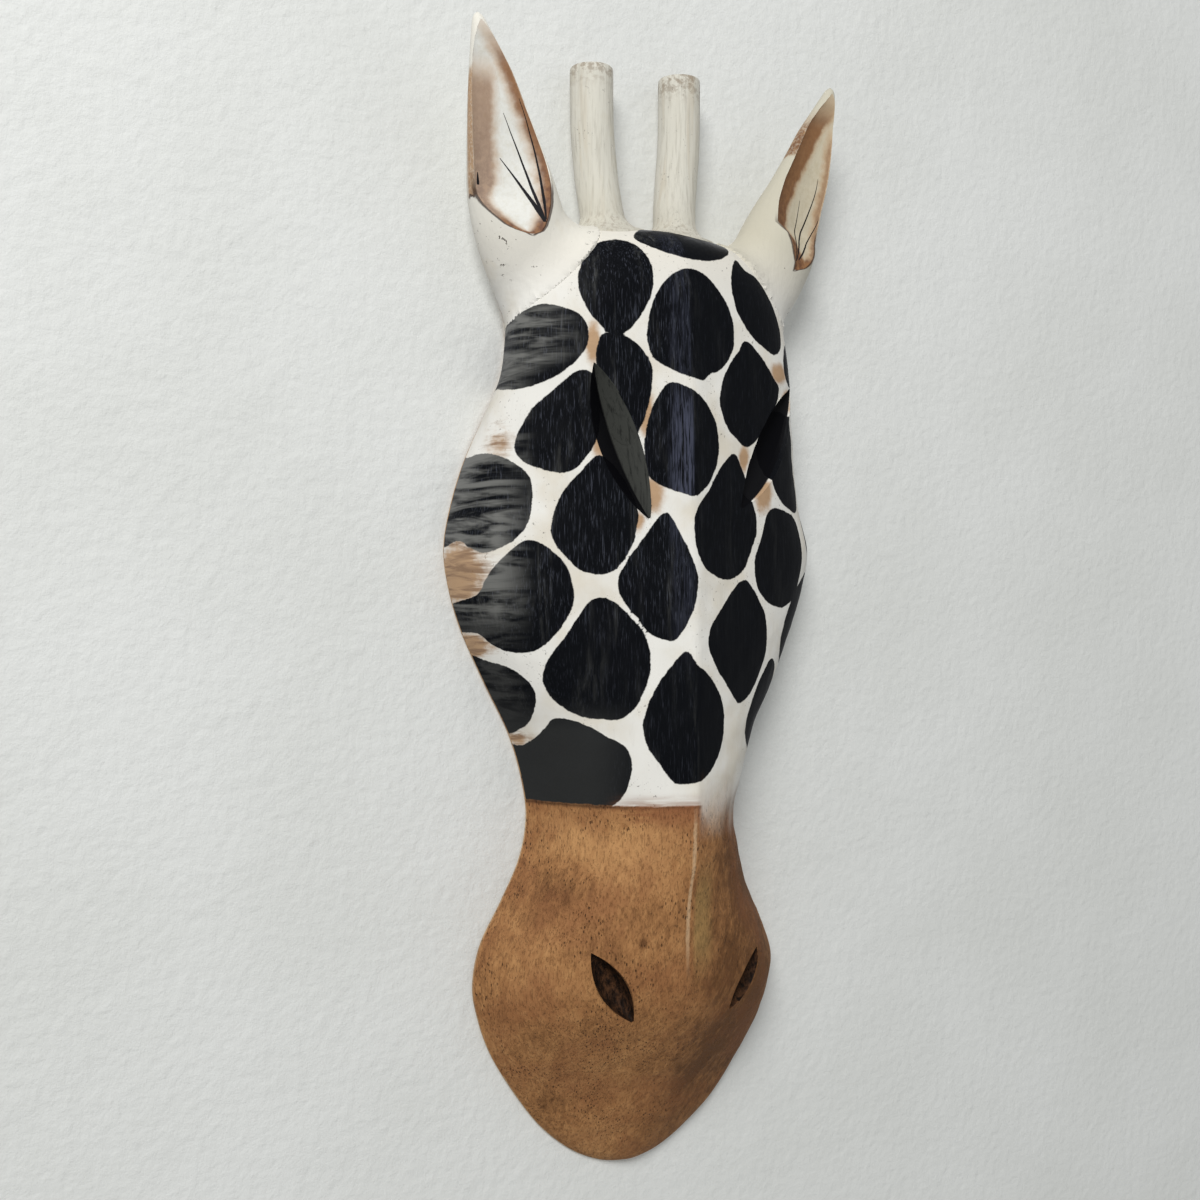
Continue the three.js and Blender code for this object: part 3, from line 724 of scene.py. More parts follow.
def flare_foot(obj, ground, radius, crown_radius):
    """Spreads obj's foot tangentially on to the ground mesh, as filler round a glued joint does.

    crown_radius is the fillet's radius where the ground faces up, and radius elsewhere.
    """
    tree = surface_tree(ground)
    points = points_of(obj)
    for point, normal in zip(points, normals_of(obj)):
        nearest, ground_normal, _, _ = tree.find_nearest(Vector(point * MM), 0.03)
        if nearest is None:
            continue
        ground_normal = np.array(ground_normal)
        gap = (point - np.array(nearest) / MM) @ ground_normal
        up = min(max(1.4 * ground_normal[2] - 0.2, 0), 1)
        reach = radius + (crown_radius - radius) * up
        sideways = normal - (normal @ ground_normal) * ground_normal
        strength = min(np.linalg.norm(sideways) / 0.6, 1)
        if gap < reach and strength > 0.05:
            gap = max(gap, 0)
            spread = reach - math.sqrt(reach ** 2 - (reach - gap) ** 2)
            point += strength * spread * sideways / np.linalg.norm(sideways)
    points[:, 1] = np.minimum(points[:, 1], EAR_BACK_PLANE)
    set_points(obj, points)


def ear_at(heights):
    return rows_at(EAR_STATIONS, heights, 3000)


def rim_angles(heights, column):
    """The angle of one of the scoop's rims at these heights, in radians."""
    table = np.array(SCOOP_RIMS, float)
    return np.radians(np.interp(heights, table[:, 0], table[:, column]))


def ear_scoop(side):
    """The scoop in an ear's front: each slice is a hollow curve between the inner and outer rim."""
    sign = SIGN[side]
    heights = np.arange(SCOOP_RIMS[0][0], SCOOP_RIMS[-1][0] + 0.1, 1.0)
    outer = rim_angles(heights, OUTER_RIM)
    inner = rim_angles(heights, INNER_RIM[side])
    facing = math.radians(SCOOP_FACING)
    out = np.array([sign * math.sin(facing), -math.cos(facing)])
    across = np.array([sign * math.cos(facing), math.sin(facing)])
    shares = np.linspace(0, 1, 45)
    rings = []
    for height, row, to_outer, to_inner in zip(heights, ear_at(heights), outer, inner):
        _, reach, depth, half_width, thickness = row
        centre = np.array([sign * reach, depth])
        rims = []
        for angle in (to_inner, to_outer):
            rims.append(centre + (sign * half_width * math.sin(angle), -thickness * math.cos(angle)))
        span = np.linalg.norm(rims[1] - rims[0])
        sag = span * np.interp(height, *zip(*SCOOP_SAG))
        curve = [rims[0] + share * (rims[1] - rims[0]) - out * sag * (4 * share * (1 - share)) ** 0.8
                 for share in shares]
        # the cutter widens just above the rims, and stands well clear of the ear's front
        first, last = rims[0] - across * 6, rims[1] + across * 6
        ring = [first + out * 30, first + out * 2.0, *curve, last + out * 2.0, last + out * 30]
        rings.append([(x, y, height) for x, y in ring])
    ends = [np.mean(ring, 0) for ring in (rings[0], rings[-1])]
    return loft(f"{side}_scoop", rings, ends)


def build_ear(side):
    rings, ends = ear_rings(side, 1.0, 110)
    ear = loft(f"carved_{side}_ear", rings, ends)
    cope = head_outside("cope", 0, 2.0)
    flare_foot(ear, cope, 7.0, 13.0)
    cut(ear, [ear_scoop(side), cope])
    keep_largest(ear)
    points = points_of(ear)
    rows = ear_at(np.clip(points[:, 2], EAR_STATIONS[0, 0], EAR_STATIONS[-1, 0]))
    sign = SIGN[side]
    right = points[:, 0] - sign * rows[:, 1]
    forward = rows[:, 2] - points[:, 1]
    facing = math.radians(SCOOP_FACING) * sign
    lateral = right * math.cos(facing) - forward * math.sin(facing)
    round_ness = np.hypot(right / np.maximum(rows[:, 3], 0.1), forward / np.maximum(rows[:, 4], 0.1))
    for name, column, way in (("from_outer", OUTER_RIM, 1), ("from_inner", INNER_RIM[side], -1)):
        rim = rim_angles(points[:, 2], column)
        rim_outward = rows[:, 3] * np.sin(rim) * math.cos(facing * sign)
        rim_outward -= rows[:, 4] * np.cos(rim) * math.sin(facing * sign)
        set_attribute(ear, name, way * (rim_outward - lateral * sign))
    floor = (round_ness < 0.99) & (points[:, 2] > SCOOP_RIMS[0][0]) & (forward > -0.5 * rows[:, 4])
    set_attribute(ear, "scoop", floor)
    set_attribute(ear, "forward", forward)
    for index, (bottom, top, start, bend, lean, width) in enumerate(EAR_STROKES[side]):
        share = np.clip((points[:, 2] - bottom) / (top - bottom), 0, 1)
        line = start + lean * share + bend * share * share
        taper = width * np.clip(np.minimum(1.15 - share, 0.45 + 3 * share), 0.12, 1)
        taper *= np.hypot(1, (lean + 2 * bend * share) / (top - bottom))
        off = (lateral - line) / taper
        outside = (points[:, 2] < bottom) | (points[:, 2] > top)
        off[outside] = np.where(off[outside] < 0, -80, 80)
        set_attribute(ear, f"stroke_{index}", off)
    smooth_shade(ear, 38)
    return ear


def build_horn(side):
    rings, ends = horn_rings(side, 0, 1.1)
    # round the rim of the flat top
    for index, (shrink, drop) in enumerate(((0.78, 0.0), (0.93, 0.35), (0.985, 1.0))):
        middle = rings[index].mean(0)
        rings[index] = middle + (rings[index] - middle) * shrink
        rings[index, :, 2] = HORN_TOPS[side][2] - drop
    horn = loft(f"carved_{side}_horn", rings, ends)
    points = points_of(horn)
    route = horn_route(side)[::-1]
    below_top = HORN_TOPS[side][2] - points[:, 2]
    fade = np.clip((points[:, 2] - 24) / 20, 0, 1) * np.clip((below_top - 0.5) / 3, 0, 1)
    right = points[:, 0] - np.interp(points[:, 2], route[:, 2], route[:, 0])
    front = points[:, 1] - np.interp(points[:, 2], route[:, 2], route[:, 1])
    stretched = np.c_[right, front, points[:, 2] * 0.12]
    facets = np.abs(waves(stretched, (14, 8), 0.1, 11 + SIGN[side])) * fade / HORN_RADIUS
    points[:, 0] -= right * facets
    points[:, 1] -= front * facets
    set_points(horn, points)
    ground = head_outside("ground", 0, 2.0)
    flare_foot(horn, ground, 4.0, 8.0)
    bpy.data.objects.remove(ground)
    smooth_shade(horn, 40)
    return horn


# ---------------------------------------------------------------- hanger

def tube(name, path, radius, around=20):
    """A closed ring of wire along a closed path."""
    path = np.asarray(path, float)
    tangent = np.roll(path, -1, 0) - np.roll(path, 1, 0)
    tangent /= np.linalg.norm(tangent, axis=1)[:, None]
    points = []
    for middle, along in zip(path, tangent):
        side = np.cross(along, (0, 1, 0))
        for turn in full_turn(around):
            points.append(middle + radius * (side * math.cos(turn) + np.array((0, 1, 0)) * math.sin(turn)))
    return mesh_object(name, points, faces_between(len(path), around, closed=True))


def build_ring():
    """The D of round wire, with its bar at the bottom and the round part up."""
    radius, drop, corner = RING["top_radius"], RING["bar_drop"], RING["corner"]
    parts = (
        ((0, drop - radius), radius, 0, 180, 60),
        ((corner - radius, corner), corner, 180, 270, 14),
        ((radius - corner, corner), corner, 270, 360, 14),
    )
    path = []
    for (x, z), bend, start, end, count in parts:
        for angle in np.radians(np.linspace(start, end, count)):
            path.append((x + bend * math.cos(angle), BAR_DEPTH, BAR_HEIGHT + z + bend * math.sin(angle)))
    return tube("wire_ring", path, WIRE_RADIUS)


def build_strap():
    """A folded steel strap: a flat leg with round corners, curled round the ring's bar."""
    thick, wide, long = STRAP["thickness"], STRAP["width"], STRAP["length"]
    corner, bevel, hole = STRAP["corner"], STRAP["bevel"], STRAP["hole_radius"]
    floor = -POCKET["depth"] + JOINT_GAP
    outer = WIRE_RADIUS + STRAP["loop_gap"] + thick
    rows = []
    for drop in np.linspace(long, 0, 60):
        taper = max(0.0, drop - (long - corner))
        half = wide / 2 - corner + math.sqrt(max(0.0, corner ** 2 - taper ** 2))
        rows.append(((floor, BAR_HEIGHT - drop), (1, 0), half))
    for angle in np.radians(np.linspace(180, STRAP["curl_end"], 50)[1:]):
        inward = (-math.cos(angle), -math.sin(angle))
        rows.append(((BAR_DEPTH + outer * math.cos(angle), BAR_HEIGHT + outer * math.sin(angle)),
                     inward, wide / 2))
    rings = []
    for (y, z), (inward_y, inward_z), half in rows:
        ring = []
        for x_sign, near_floor in ((-1, True), (1, True), (1, False), (-1, False)):
            turns = np.radians((0, 30, 60, 90))
            if (x_sign == 1) == near_floor:
                turns = turns[::-1]
            for turn in turns:
                x = x_sign * (half - bevel + bevel * math.cos(turn))
                deep = bevel - bevel * math.sin(turn)
                rise = deep if near_floor else thick - deep
                ring.append((x, y + inward_y * rise, z + inward_z * rise))
        rings.append(ring)
    ends = [np.mean(rings[0], 0), np.mean(rings[-1], 0)]
    strap = loft("folded_strap", rings, ends)
    cutters = []
    for drop in SCREW_DROPS:
        cutters.append(turned("hole", ((0, -4), (hole, -4), (hole, 4), (0, 4)), drop, 32))
    cut(strap, cutters)
    smooth_shade(strap, 35)
    return strap


def turned(name, profile, drop, around=48):
    """A body turned about the screw axis: profile rows are radius and height above the seat."""
    rings = []
    for radius, rise in profile[1:-1]:
        rings.append([(radius * math.cos(a), SCREW_SEAT + rise, BAR_HEIGHT - drop + radius * math.sin(a))
                      for a in full_turn(around)])
    ends = [(0, SCREW_SEAT + rise, BAR_HEIGHT - drop) for _, rise in (profile[0], profile[-1])]
    return loft(name, rings, ends)


def build_screw(name, drop, turn):
    """A pan-head wood screw with a rounded rim, a cross recess and a threaded shank."""
    radius, height = SCREW["head_radius"], SCREW["head_height"]
    shank, length, tip, root = SCREW["shank_radius"], SCREW["length"], SCREW["tip"], SCREW["root"]
    reach, wide, deep = RECESS["half_length"], RECESS["half_width"], RECESS["depth"]
    profile = [(0, -length)]
    for rise in np.arange(-length + 0.15, -0.2, 0.15):
        core = shank * min(1.0, (rise + length) / tip)
        thread = abs(((rise / SCREW["pitch"]) % 1) - 0.5) * 2
        profile.append((core * (root + (1 - root) * thread), rise))
    profile += [(shank, -0.02), (radius - 0.15, -0.02), (radius, 0.12), (radius, 0.45 * height)]
    for angle in np.radians((20, 40, 60, 80)):
        profile.append((radius * (0.35 + 0.65 * math.cos(angle)),
                        height * (0.45 + 0.55 * math.sin(angle))))
    profile += [(0.3 * radius, height), (0, height)]
    screw = turned(name, profile, drop)
    cutters = []
    for slot_turn in (turn, turn + 90):
        blade = box_cutter((-reach, -deep, -wide), (reach, 0.8, wide))
        angle = math.radians(slot_turn)
        points = points_of(blade)
        squeeze = np.where(points[:, 1] < 0, 0.45, 1.0)
        x, z = points[:, 0] * squeeze, points[:, 2]
        set_points(blade, np.c_[x * math.cos(angle) - z * math.sin(angle),
                                SCREW_SEAT + height + points[:, 1],
                                BAR_HEIGHT - drop + x * math.sin(angle) + z * math.cos(angle)])
        cutters.append(blade)
    cut(screw, cutters)
    smooth_shade(screw, 35)
    return screw


# ---------------------------------------------------------------- materials

class Value:
    """A socket of a shader's node tree, which can stand in ordinary sums."""

    def __init__(self, shader, socket):
        self.shader = shader
        self.socket = socket

    def __add__(self, other):
        return self.shader.math("ADD", self, other)

    def __sub__(self, other):
        return self.shader.math("SUBTRACT", self, other)

    def __rsub__(self, other):
        return self.shader.math("SUBTRACT", other, self)

    def __mul__(self, other):
        return self.shader.math("MULTIPLY", self, other)

    def __abs__(self):
        return self.shader.math("ABSOLUTE", self)

    __radd__ = __add__
    __rmul__ = __mul__


class Shader:
    """A material whose node tree is built in short steps. Colours are linear RGB."""

    def __init__(self, name):
        self.material = bpy.data.materials.new(name)
        self.material.use_nodes = True
        self.tree = self.material.node_tree
        self.tree.nodes.clear()
        self.output = self.node("ShaderNodeOutputMaterial")
        self.where = self.node("ShaderNodeTexCoord").outputs["Object"]

    def node(self, kind, **settings):
        made = self.tree.nodes.new(kind)
        for key, value in settings.items():
            setattr(made, key, value)
        return made

    def put(self, socket, value):
        if isinstance(value, Value):
            value = value.socket
        if isinstance(value, bpy.types.NodeSocket):
            self.tree.links.new(value, socket)
        elif isinstance(value, tuple) and socket.type == "RGBA":
            socket.default_value = (*value, 1)
        else:
            socket.default_value = value

    def math(self, operation, first, second=0.0):
        made = self.node("ShaderNodeMath", operation=operation)
        self.put(made.inputs[0], first)
        self.put(made.inputs[1], second)
        return Value(self, made.outputs[0])

    def larger(self, first, second):
        return self.math("MAXIMUM", first, second)

    def smaller(self, first, second):
        return self.math("MINIMUM", first, second)

    def between(self, value, low, high, smooth=True):
        """0 below low and 1 above high; low may be the larger."""
        made = self.node("ShaderNodeMapRange", interpolation_type="SMOOTHSTEP" if smooth else "LINEAR")
        flip = low > high
        self.put(made.inputs["Value"], value)
        self.put(made.inputs["From Min"], min(low, high))
        self.put(made.inputs["From Max"], max(low, high))
        self.put(made.inputs["To Min"], 1.0 if flip else 0.0)
        self.put(made.inputs["To Max"], 0.0 if flip else 1.0)
        return Value(self, made.outputs["Result"])

    def read(self, kind, output, **settings):
        """The value of one output of a new node."""
        return Value(self, self.node(kind, **settings).outputs[output])

    def attribute(self, name):
        return self.read("ShaderNodeAttribute", "Fac", attribute_name=name)

    def axis(self, name):
        made = self.node("ShaderNodeSeparateXYZ")
        self.put(made.inputs[0], self.where)
        return Value(self, made.outputs[name])

    def place(self, size, stretch, shift):
        """Coordinates that grow by one over size millimetres, times stretch along each axis."""
        made = self.node("ShaderNodeMapping")
        self.put(made.inputs["Vector"], self.where)
        self.put(made.inputs["Scale"], tuple(1000 / (size * part) for part in stretch))
        self.put(made.inputs["Location"], shift)
        return made

    def noise(self, size, detail=3.0, roughness=0.55, stretch=(1, 1, 1), shift=0.0, twist=0.0, lean=0.0):
        """Noise with features about size millimetres wide, times stretch along each axis.

        lean tips the pattern's upright towards the viewer's right, in degrees.
        """
        place = self.place(size, stretch, (shift, shift * 0.7, shift * 1.3))
        if lean:
            upright = self.node("ShaderNodeVectorRotate", rotation_type="Y_AXIS")
            self.put(upright.inputs["Vector"], self.where)
            self.put(upright.inputs["Angle"], math.radians(-lean))
            self.put(place.inputs["Vector"], upright.outputs[0])
        made = self.node("ShaderNodeTexNoise")
        self.put(made.inputs["Vector"], place.outputs[0])
        self.put(made.inputs["Scale"], 1.0)
        self.put(made.inputs["Detail"], detail)
        self.put(made.inputs["Roughness"], roughness)
        self.put(made.inputs["Distortion"], twist)
        return Value(self, made.outputs["Fac"])

    def cells(self, size, stretch=(1, 1, 1), shift=0.0):
        """Distance to scattered points that lie about size millimetres apart."""
        place = self.place(size, stretch, (shift, shift, shift))
        made = self.node("ShaderNodeTexVoronoi")
        self.put(made.inputs["Vector"], place.outputs[0])
        self.put(made.inputs["Scale"], 1.0)
        return Value(self, made.outputs["Distance"])

    def mix(self, factor, first, second):
        made = self.node("ShaderNodeMix", data_type="RGBA")
        self.put(made.inputs[0], factor)
        self.put(made.inputs[6], first)
        self.put(made.inputs[7], second)
        return made.outputs[2]

    def bump(self, height, distance, below=None):
        """Bump from a height of 0 to 1 that stands for distance in millimetres."""
        made = self.node("ShaderNodeBump")
        self.put(made.inputs["Strength"], 1.0)
        self.put(made.inputs["Distance"], distance * MM)
        self.put(made.inputs["Height"], height)
        if below is not None:
            self.put(made.inputs["Normal"], below)
        return made.outputs[0]

    def surface(self, **values):
        """The one Principled surface. Names are its socket names with spaces as underscores."""
        made = self.node("ShaderNodeBsdfPrincipled")
        for key, value in values.items():
            self.put(made.inputs[key.replace("_", " ")], value)
        self.put(self.output.inputs["Surface"], made.outputs[0])
        return self.material


WHITE = (0.80, 0.785, 0.735)
WARM_WHITE = (0.71, 0.66, 0.56)
GREY_WASH = (0.50, 0.485, 0.44)
SPECK = (0.075, 0.062, 0.05)
BLACK = (0.0032, 0.0038, 0.0052)
BLUE_FLECK = (0.044, 0.048, 0.062)
# blue and grey of the painted sheen on the black spots; the grey also serves the dry-brushed wear
RIDGE_SHEEN_BLUE = (0.062, 0.068, 0.100)
WORN_GREY_AND_SHEEN = (0.17, 0.17, 0.16)
TAN = (0.46, 0.28, 0.145)
DEEP_TAN = (0.24, 0.13, 0.06)
BROWN = (0.27, 0.125, 0.048)
RUST = (0.13, 0.045, 0.018)
DARK_EDGE = (0.035, 0.014, 0.008)
LIGHT_WOOD = (0.52, 0.275, 0.112)
MIDDLE_WOOD = (0.345, 0.165, 0.063)
DARK_WOOD = (0.150, 0.066, 0.024)
PORE = (0.045, 0.020, 0.010)
RAW_WOOD = (0.52, 0.34, 0.185)
RAW_SHADE = (0.33, 0.19, 0.095)
DULL_BLACK = (0.027, 0.028, 0.028)
EYE_BLACK = (0.002, 0.002, 0.003)
# grey of the painted highlight on the left eye's inner wall
EYE_HIGHLIGHT_GREY = (0.058, 0.060, 0.054)
STROKE_BLACK = (0.008, 0.008, 0.010)
TIP_BROWN = (0.19, 0.08, 0.03)
OVERSPRAY = (0.26, 0.1, 0.042)
RUDDY_WOOD = (0.25, 0.098, 0.04)
OLIVE_WOOD = (0.36, 0.25, 0.09)
RIDGE_WOOD = (0.58, 0.4, 0.24)
NOSTRIL_BROWN = (0.085, 0.037, 0.016)
NOSTRIL_DARK = (0.010, 0.005, 0.003)
RAW_PORE = (0.09, 0.05, 0.025)
HORN_GREY = (0.4, 0.375, 0.315)
HORN_CREAM = (0.52, 0.45, 0.34)
# colour of the painted shade towards the horns' roots
HORN_ROOT_SHADE = (0.5, 0.47, 0.385)
GRIME = (0.22, 0.155, 0.1)
PEG_LIGHT = (0.50, 0.33, 0.16)
PEG_DARK = (0.30, 0.18, 0.08)
PEG_YELLOW = (0.6, 0.44, 0.25)
STEEL_STAIN = (0.3, 0.22, 0.14)
STEEL = {"strap": (0.60, 0.60, 0.58), "ring": (0.66, 0.66, 0.64), "screw": (0.58, 0.57, 0.54)}
PLASTER = ((0.72, 0.73, 0.705), (0.76, 0.77, 0.75))
FLOOR = ((0.62, 0.62, 0.60), (0.66, 0.66, 0.64))
# tints of the white on the pieces that are not quite the head's white, and of its dusty places. The right
# ear's white, in the scoop as well, is darker and yellower than the left's
EAR_TINT = {"left": (1.05, 1.06, 1.06), "right": (0.77, 0.76, 0.69)}
SCOOP_WHITE = {"left": (0.75, 0.75, 0.705), "right": (0.60, 0.54, 0.41)}
HORN_TINT = (0.87, 0.88, 0.86)
DUST_TINT = (0.86, 0.83, 0.76)
# how far from its rims the airbrushed brown in each ear's scoop ends, and is full, in millimetres
OUTER_BAND = {"left": (14.0, 8.0), "right": (5.5, 1.0)}
INNER_BAND = {"left": (9.0, 1.5), "right": (14.5, 9.5)}


def white_ground(s, tint=(1, 1, 1)):
    """Dry-brushed white, a little dirty and warm in places. It runs on from piece to piece."""
    blotch = s.noise(34, 4, 0.6, shift=5.0)
    brush = s.noise(1.6, 4, 0.65, (1, 1, 14), 3.0, 0.4)
    white, warm, grey = (tuple(np.multiply(colour, tint)) for colour in (WHITE, WARM_WHITE, GREY_WASH))
    crown = s.between(s.axis("Z"), -0.025, 0.006) * 0.5
    colour = s.mix(s.larger(s.between(blotch, 0.42, 0.72), crown), white, warm)
    return s.mix(s.between(brush, 0.58, 0.8) * 0.3, colour, grey)


def specks(s, size, gather):
    """Small ragged dark flecks, in clusters about gather millimetres wide."""
    cluster = s.between(s.noise(gather, 2, 0.5, shift=2.0), 0.46, 0.56)
    return s.between(s.noise(size, 3, 0.7, shift=6.0), 0.64, 0.68) * cluster


def head_paint():
    s = Shader("painted head")
    height = s.axis("Z") * 1000
    girth, inside = s.attribute("girth"), s.attribute("inside")
    ragged = s.noise(5, 4, 0.6) - 0.5
    fine = s.noise(1.3, 2, 0.6) - 0.5
    brush = s.noise(1.6, 4, 0.65, (1, 1, 14), 3.0, 0.4)
    brush_wide = s.noise(7, 3, 0.5, (1, 1, 9), 9.0, 0.3)
    strokes = s.noise(2.6, 4, 0.62, (8, 8, 1), 2.0, 0.8)

    # white ground with warm airbrushed shading
    white = white_ground(s)
    white = s.mix(specks(s, 1.5, 26) * 0.6, white, SPECK)
    streaked = 0.15 + s.between(girth, -66, -84) * 0.85
    tan_edge = s.attribute("tan") + ragged * 0.55 + (strokes - 0.5) * (streaked * 0.9)
    tan_colour = s.mix(s.between(strokes, 0.4, 0.64) * streaked, TAN, DEEP_TAN)
    white = s.mix(s.between(tan_edge, 0.15, 0.65) * 0.92, white, tan_colour)

    # black spots with fine blue-grey brush flecks and dry-brushed wear, both made stronger on the lit left
    # face as painted sheen, and a painted sheen of blue streaks along the left of the ridge and of grey
    # streaks on the left flank
    edge = s.attribute("spot") + ragged * 1.5 + fine * 0.5
    in_spot = s.between(edge, 0.28, -0.22)
    fleck = s.between(s.noise(0.55, 3, 0.6, (1, 1, 13), 7.0, 0.5), 0.52, 0.74)
    # painted light: the flecks and the wear are made stronger on the left face, the side the light falls on
    lit_left_face = (0.2 + s.between(girth, 2, -2) * 0.8) * (0.35 + s.between(height, -168, -140) * 0.65)
    black = s.mix(fleck * lit_left_face, BLACK, BLUE_FLECK)
    wear = s.between(brush_wide, 0.5, 0.72) * s.between(brush, 0.4, 0.7)
    black = s.mix(wear * lit_left_face * 0.3, black, WORN_GREY_AND_SHEEN)
    # painted sheen: blue-grey streaks just left of the ridge
    ridge_sheen = s.between(girth, -13.0, -8.0) * s.between(girth, 0.6, -1.2)
    sheen_here = s.between(height, -50, -72) * s.between(height, -128, -104)
    ridge_sheen = ridge_sheen * (0.26 + sheen_here * 0.68) * s.between(height, -182, -150)
    streak = s.between(s.noise(0.8, 3, 0.6, (1, 1, 20), 1.0, 0.6), 0.38, 0.62)
    black = s.mix(ridge_sheen * streak, black, RIDGE_SHEEN_BLUE)
    smear = s.noise(6.5, 3, 0.5, (6, 6, 1), 2.0, 1.4)
    # painted sheen: grey streaks on the far left flank
    smear = smear * 0.75 + strokes * 0.25
    reach = girth - s.between(height, -54, -42) * 20.0
    upper = 0.25 + s.between(height, -160, -146) * 0.75
    grey = s.between(reach, -68, -88) * s.between(smear, 0.38, 0.6) * upper
    black = s.mix(grey * 0.95, black, WORN_GREY_AND_SHEEN)
    dull = s.between(girth, -18, -50) * s.between(height, -186, -204)
    black = s.mix(dull, black, DULL_BLACK)
    painted_face = s.mix(in_spot, white, black)

    # stained wood of the muzzle: soft patches, a painted shade over its right side, short grain flecks and
    # pores
    grain = s.noise(2.4, 5, 0.6, (1, 1, 13), 2.0, 0.7)
    bands = s.noise(13, 3, 0.5, (1, 1, 4.5), 6.0, 1.2)
    patches = s.noise(22, 5, 0.62, (1, 1, 1.5), 8.0, 0.5) - 0.5
    mottle = s.noise(3.2, 5, 0.68, (1, 1, 1.9), 4.0, 0.4) - 0.5
    lean = s.noise(2.0, 4, 0.62, (1, 1, 8), 3.0, 0.6, 35)
    tone = s.attribute("tone") + patches * 1.9 + mottle * 1.8 + (lean - 0.5) * 1.2
    wood = s.mix(s.between(tone, -0.75, 0.0, False), DARK_WOOD, MIDDLE_WOOD)
    wood = s.mix(s.between(tone, 0.0, 0.85, False), wood, LIGHT_WOOD)
    ruddy = s.between(s.noise(27, 3, 0.55, shift=12.0), 0.42, 0.66)
    wood = s.mix(ruddy * 0.45, wood, RUDDY_WOOD)
    flecks = s.between(s.noise(0.75, 3, 0.65, (1, 1, 3.4), 2.0), 0.50, 0.72)
    wood = s.mix(flecks * 0.36, wood, DARK_WOOD)
    olive = s.between(girth, 1, 4) * s.between(girth, 17, 8) * s.between(abs(height + 284.0), 30, 8)
    wood = s.mix(olive * 0.45, wood, OLIVE_WOOD)
    pitted = s.between(s.noise(24, 3, 0.6, shift=6.0), 0.42, 0.60)
    pores = s.between(s.cells(1.25, (1, 1, 2.6), 2.0), 0.26, 0.14) * pitted
    wood = s.mix(pores * 0.8, wood, PORE)
    ridge_away = abs(girth + 0.8) + ragged * 1.4
    ridge = s.between(ridge_away, 1.2, 0.4) * s.between(height, -312, -286)
    wood = s.mix(ridge * 0.65, wood, RIDGE_WOOD)

    # the white stops in a nearly level line on the left and in a soft airbrushed one on the right
    line = height + ragged * 1.6
    crisp = s.between(line, PAINT_LINE - 0.5, PAINT_LINE + 0.4)
    soft = s.between(height + patches * 26.0, -252.0, -219.0)
    right_side = s.between(girth, -0.5, 4.0)
    left_side = 1.0 - right_side
    sprayed = crisp * left_side + soft * right_side
    colour = s.mix(sprayed, wood, painted_face)
    thin_edge = (s.between(line, PAINT_LINE - 2.2, PAINT_LINE - 0.6)
                 * s.between(line, PAINT_LINE + 0.4, PAINT_LINE - 0.6))
    colour = s.mix(thin_edge * left_side * 0.7, colour, DARK_EDGE)
    near_line = s.between(abs(height - PAINT_LINE + 2.5), 9.0, 1.0)
    overspray = s.between(girth, -42, -26) * left_side * near_line * s.between(strokes, 0.25, 0.6)
    colour = s.mix(overspray * 0.75, colour, OVERSPRAY)

    # notches, then bare wood inside and behind
    notch = s.attribute("notch")
    # painted highlight: the left eye's inner wall is coloured grey, as its black paint looks where the
    # light falls on it
    eye_wall_highlight = s.attribute("lit_eye_wall") * s.between(brush, 0.15, 0.55)
    eye_colour = s.mix(eye_wall_highlight, EYE_BLACK, EYE_HIGHLIGHT_GREY)
    nostril_colour = s.mix(s.between(mottle, -0.16, 0.10), NOSTRIL_BROWN, NOSTRIL_DARK)
    notch_colour = s.mix(s.between(height, -200, -180), nostril_colour, eye_colour)
    colour = s.mix(s.between(notch, 0.4, 0.6), colour, notch_colour)
    raw = s.mix(s.between(grain, 0.35, 0.75), RAW_WOOD, RAW_SHADE)
    raw = s.mix(s.between(bands, 0.45, 0.75) * 0.5, raw, DEEP_TAN)
    raw = s.mix(pores * 0.6, raw, RAW_PORE)
    bare = s.between(inside, 0.4, 0.6)
    colour = s.mix(bare, colour, raw)

    painted = sprayed * (1.0 - bare)
    film = painted * in_spot
    unpainted = 1.0 - painted
    rough = 0.6 + brush * 0.12 - film * 0.2
    normal = s.bump(brush * 0.5 + brush_wide * 0.6, 0.2)
    pits = (pores + flecks * 0.5) * unpainted
    shine = 0.14 - film * 0.09
    relief = (mottle + lean * 0.7) * unpainted
    normal = s.bump(relief - pits, 0.5, normal)
    normal = s.bump(film, 0.10, normal)
    return s.surface(Base_Color=colour, Roughness=rough, Normal=normal, Specular_IOR_Level=shine)


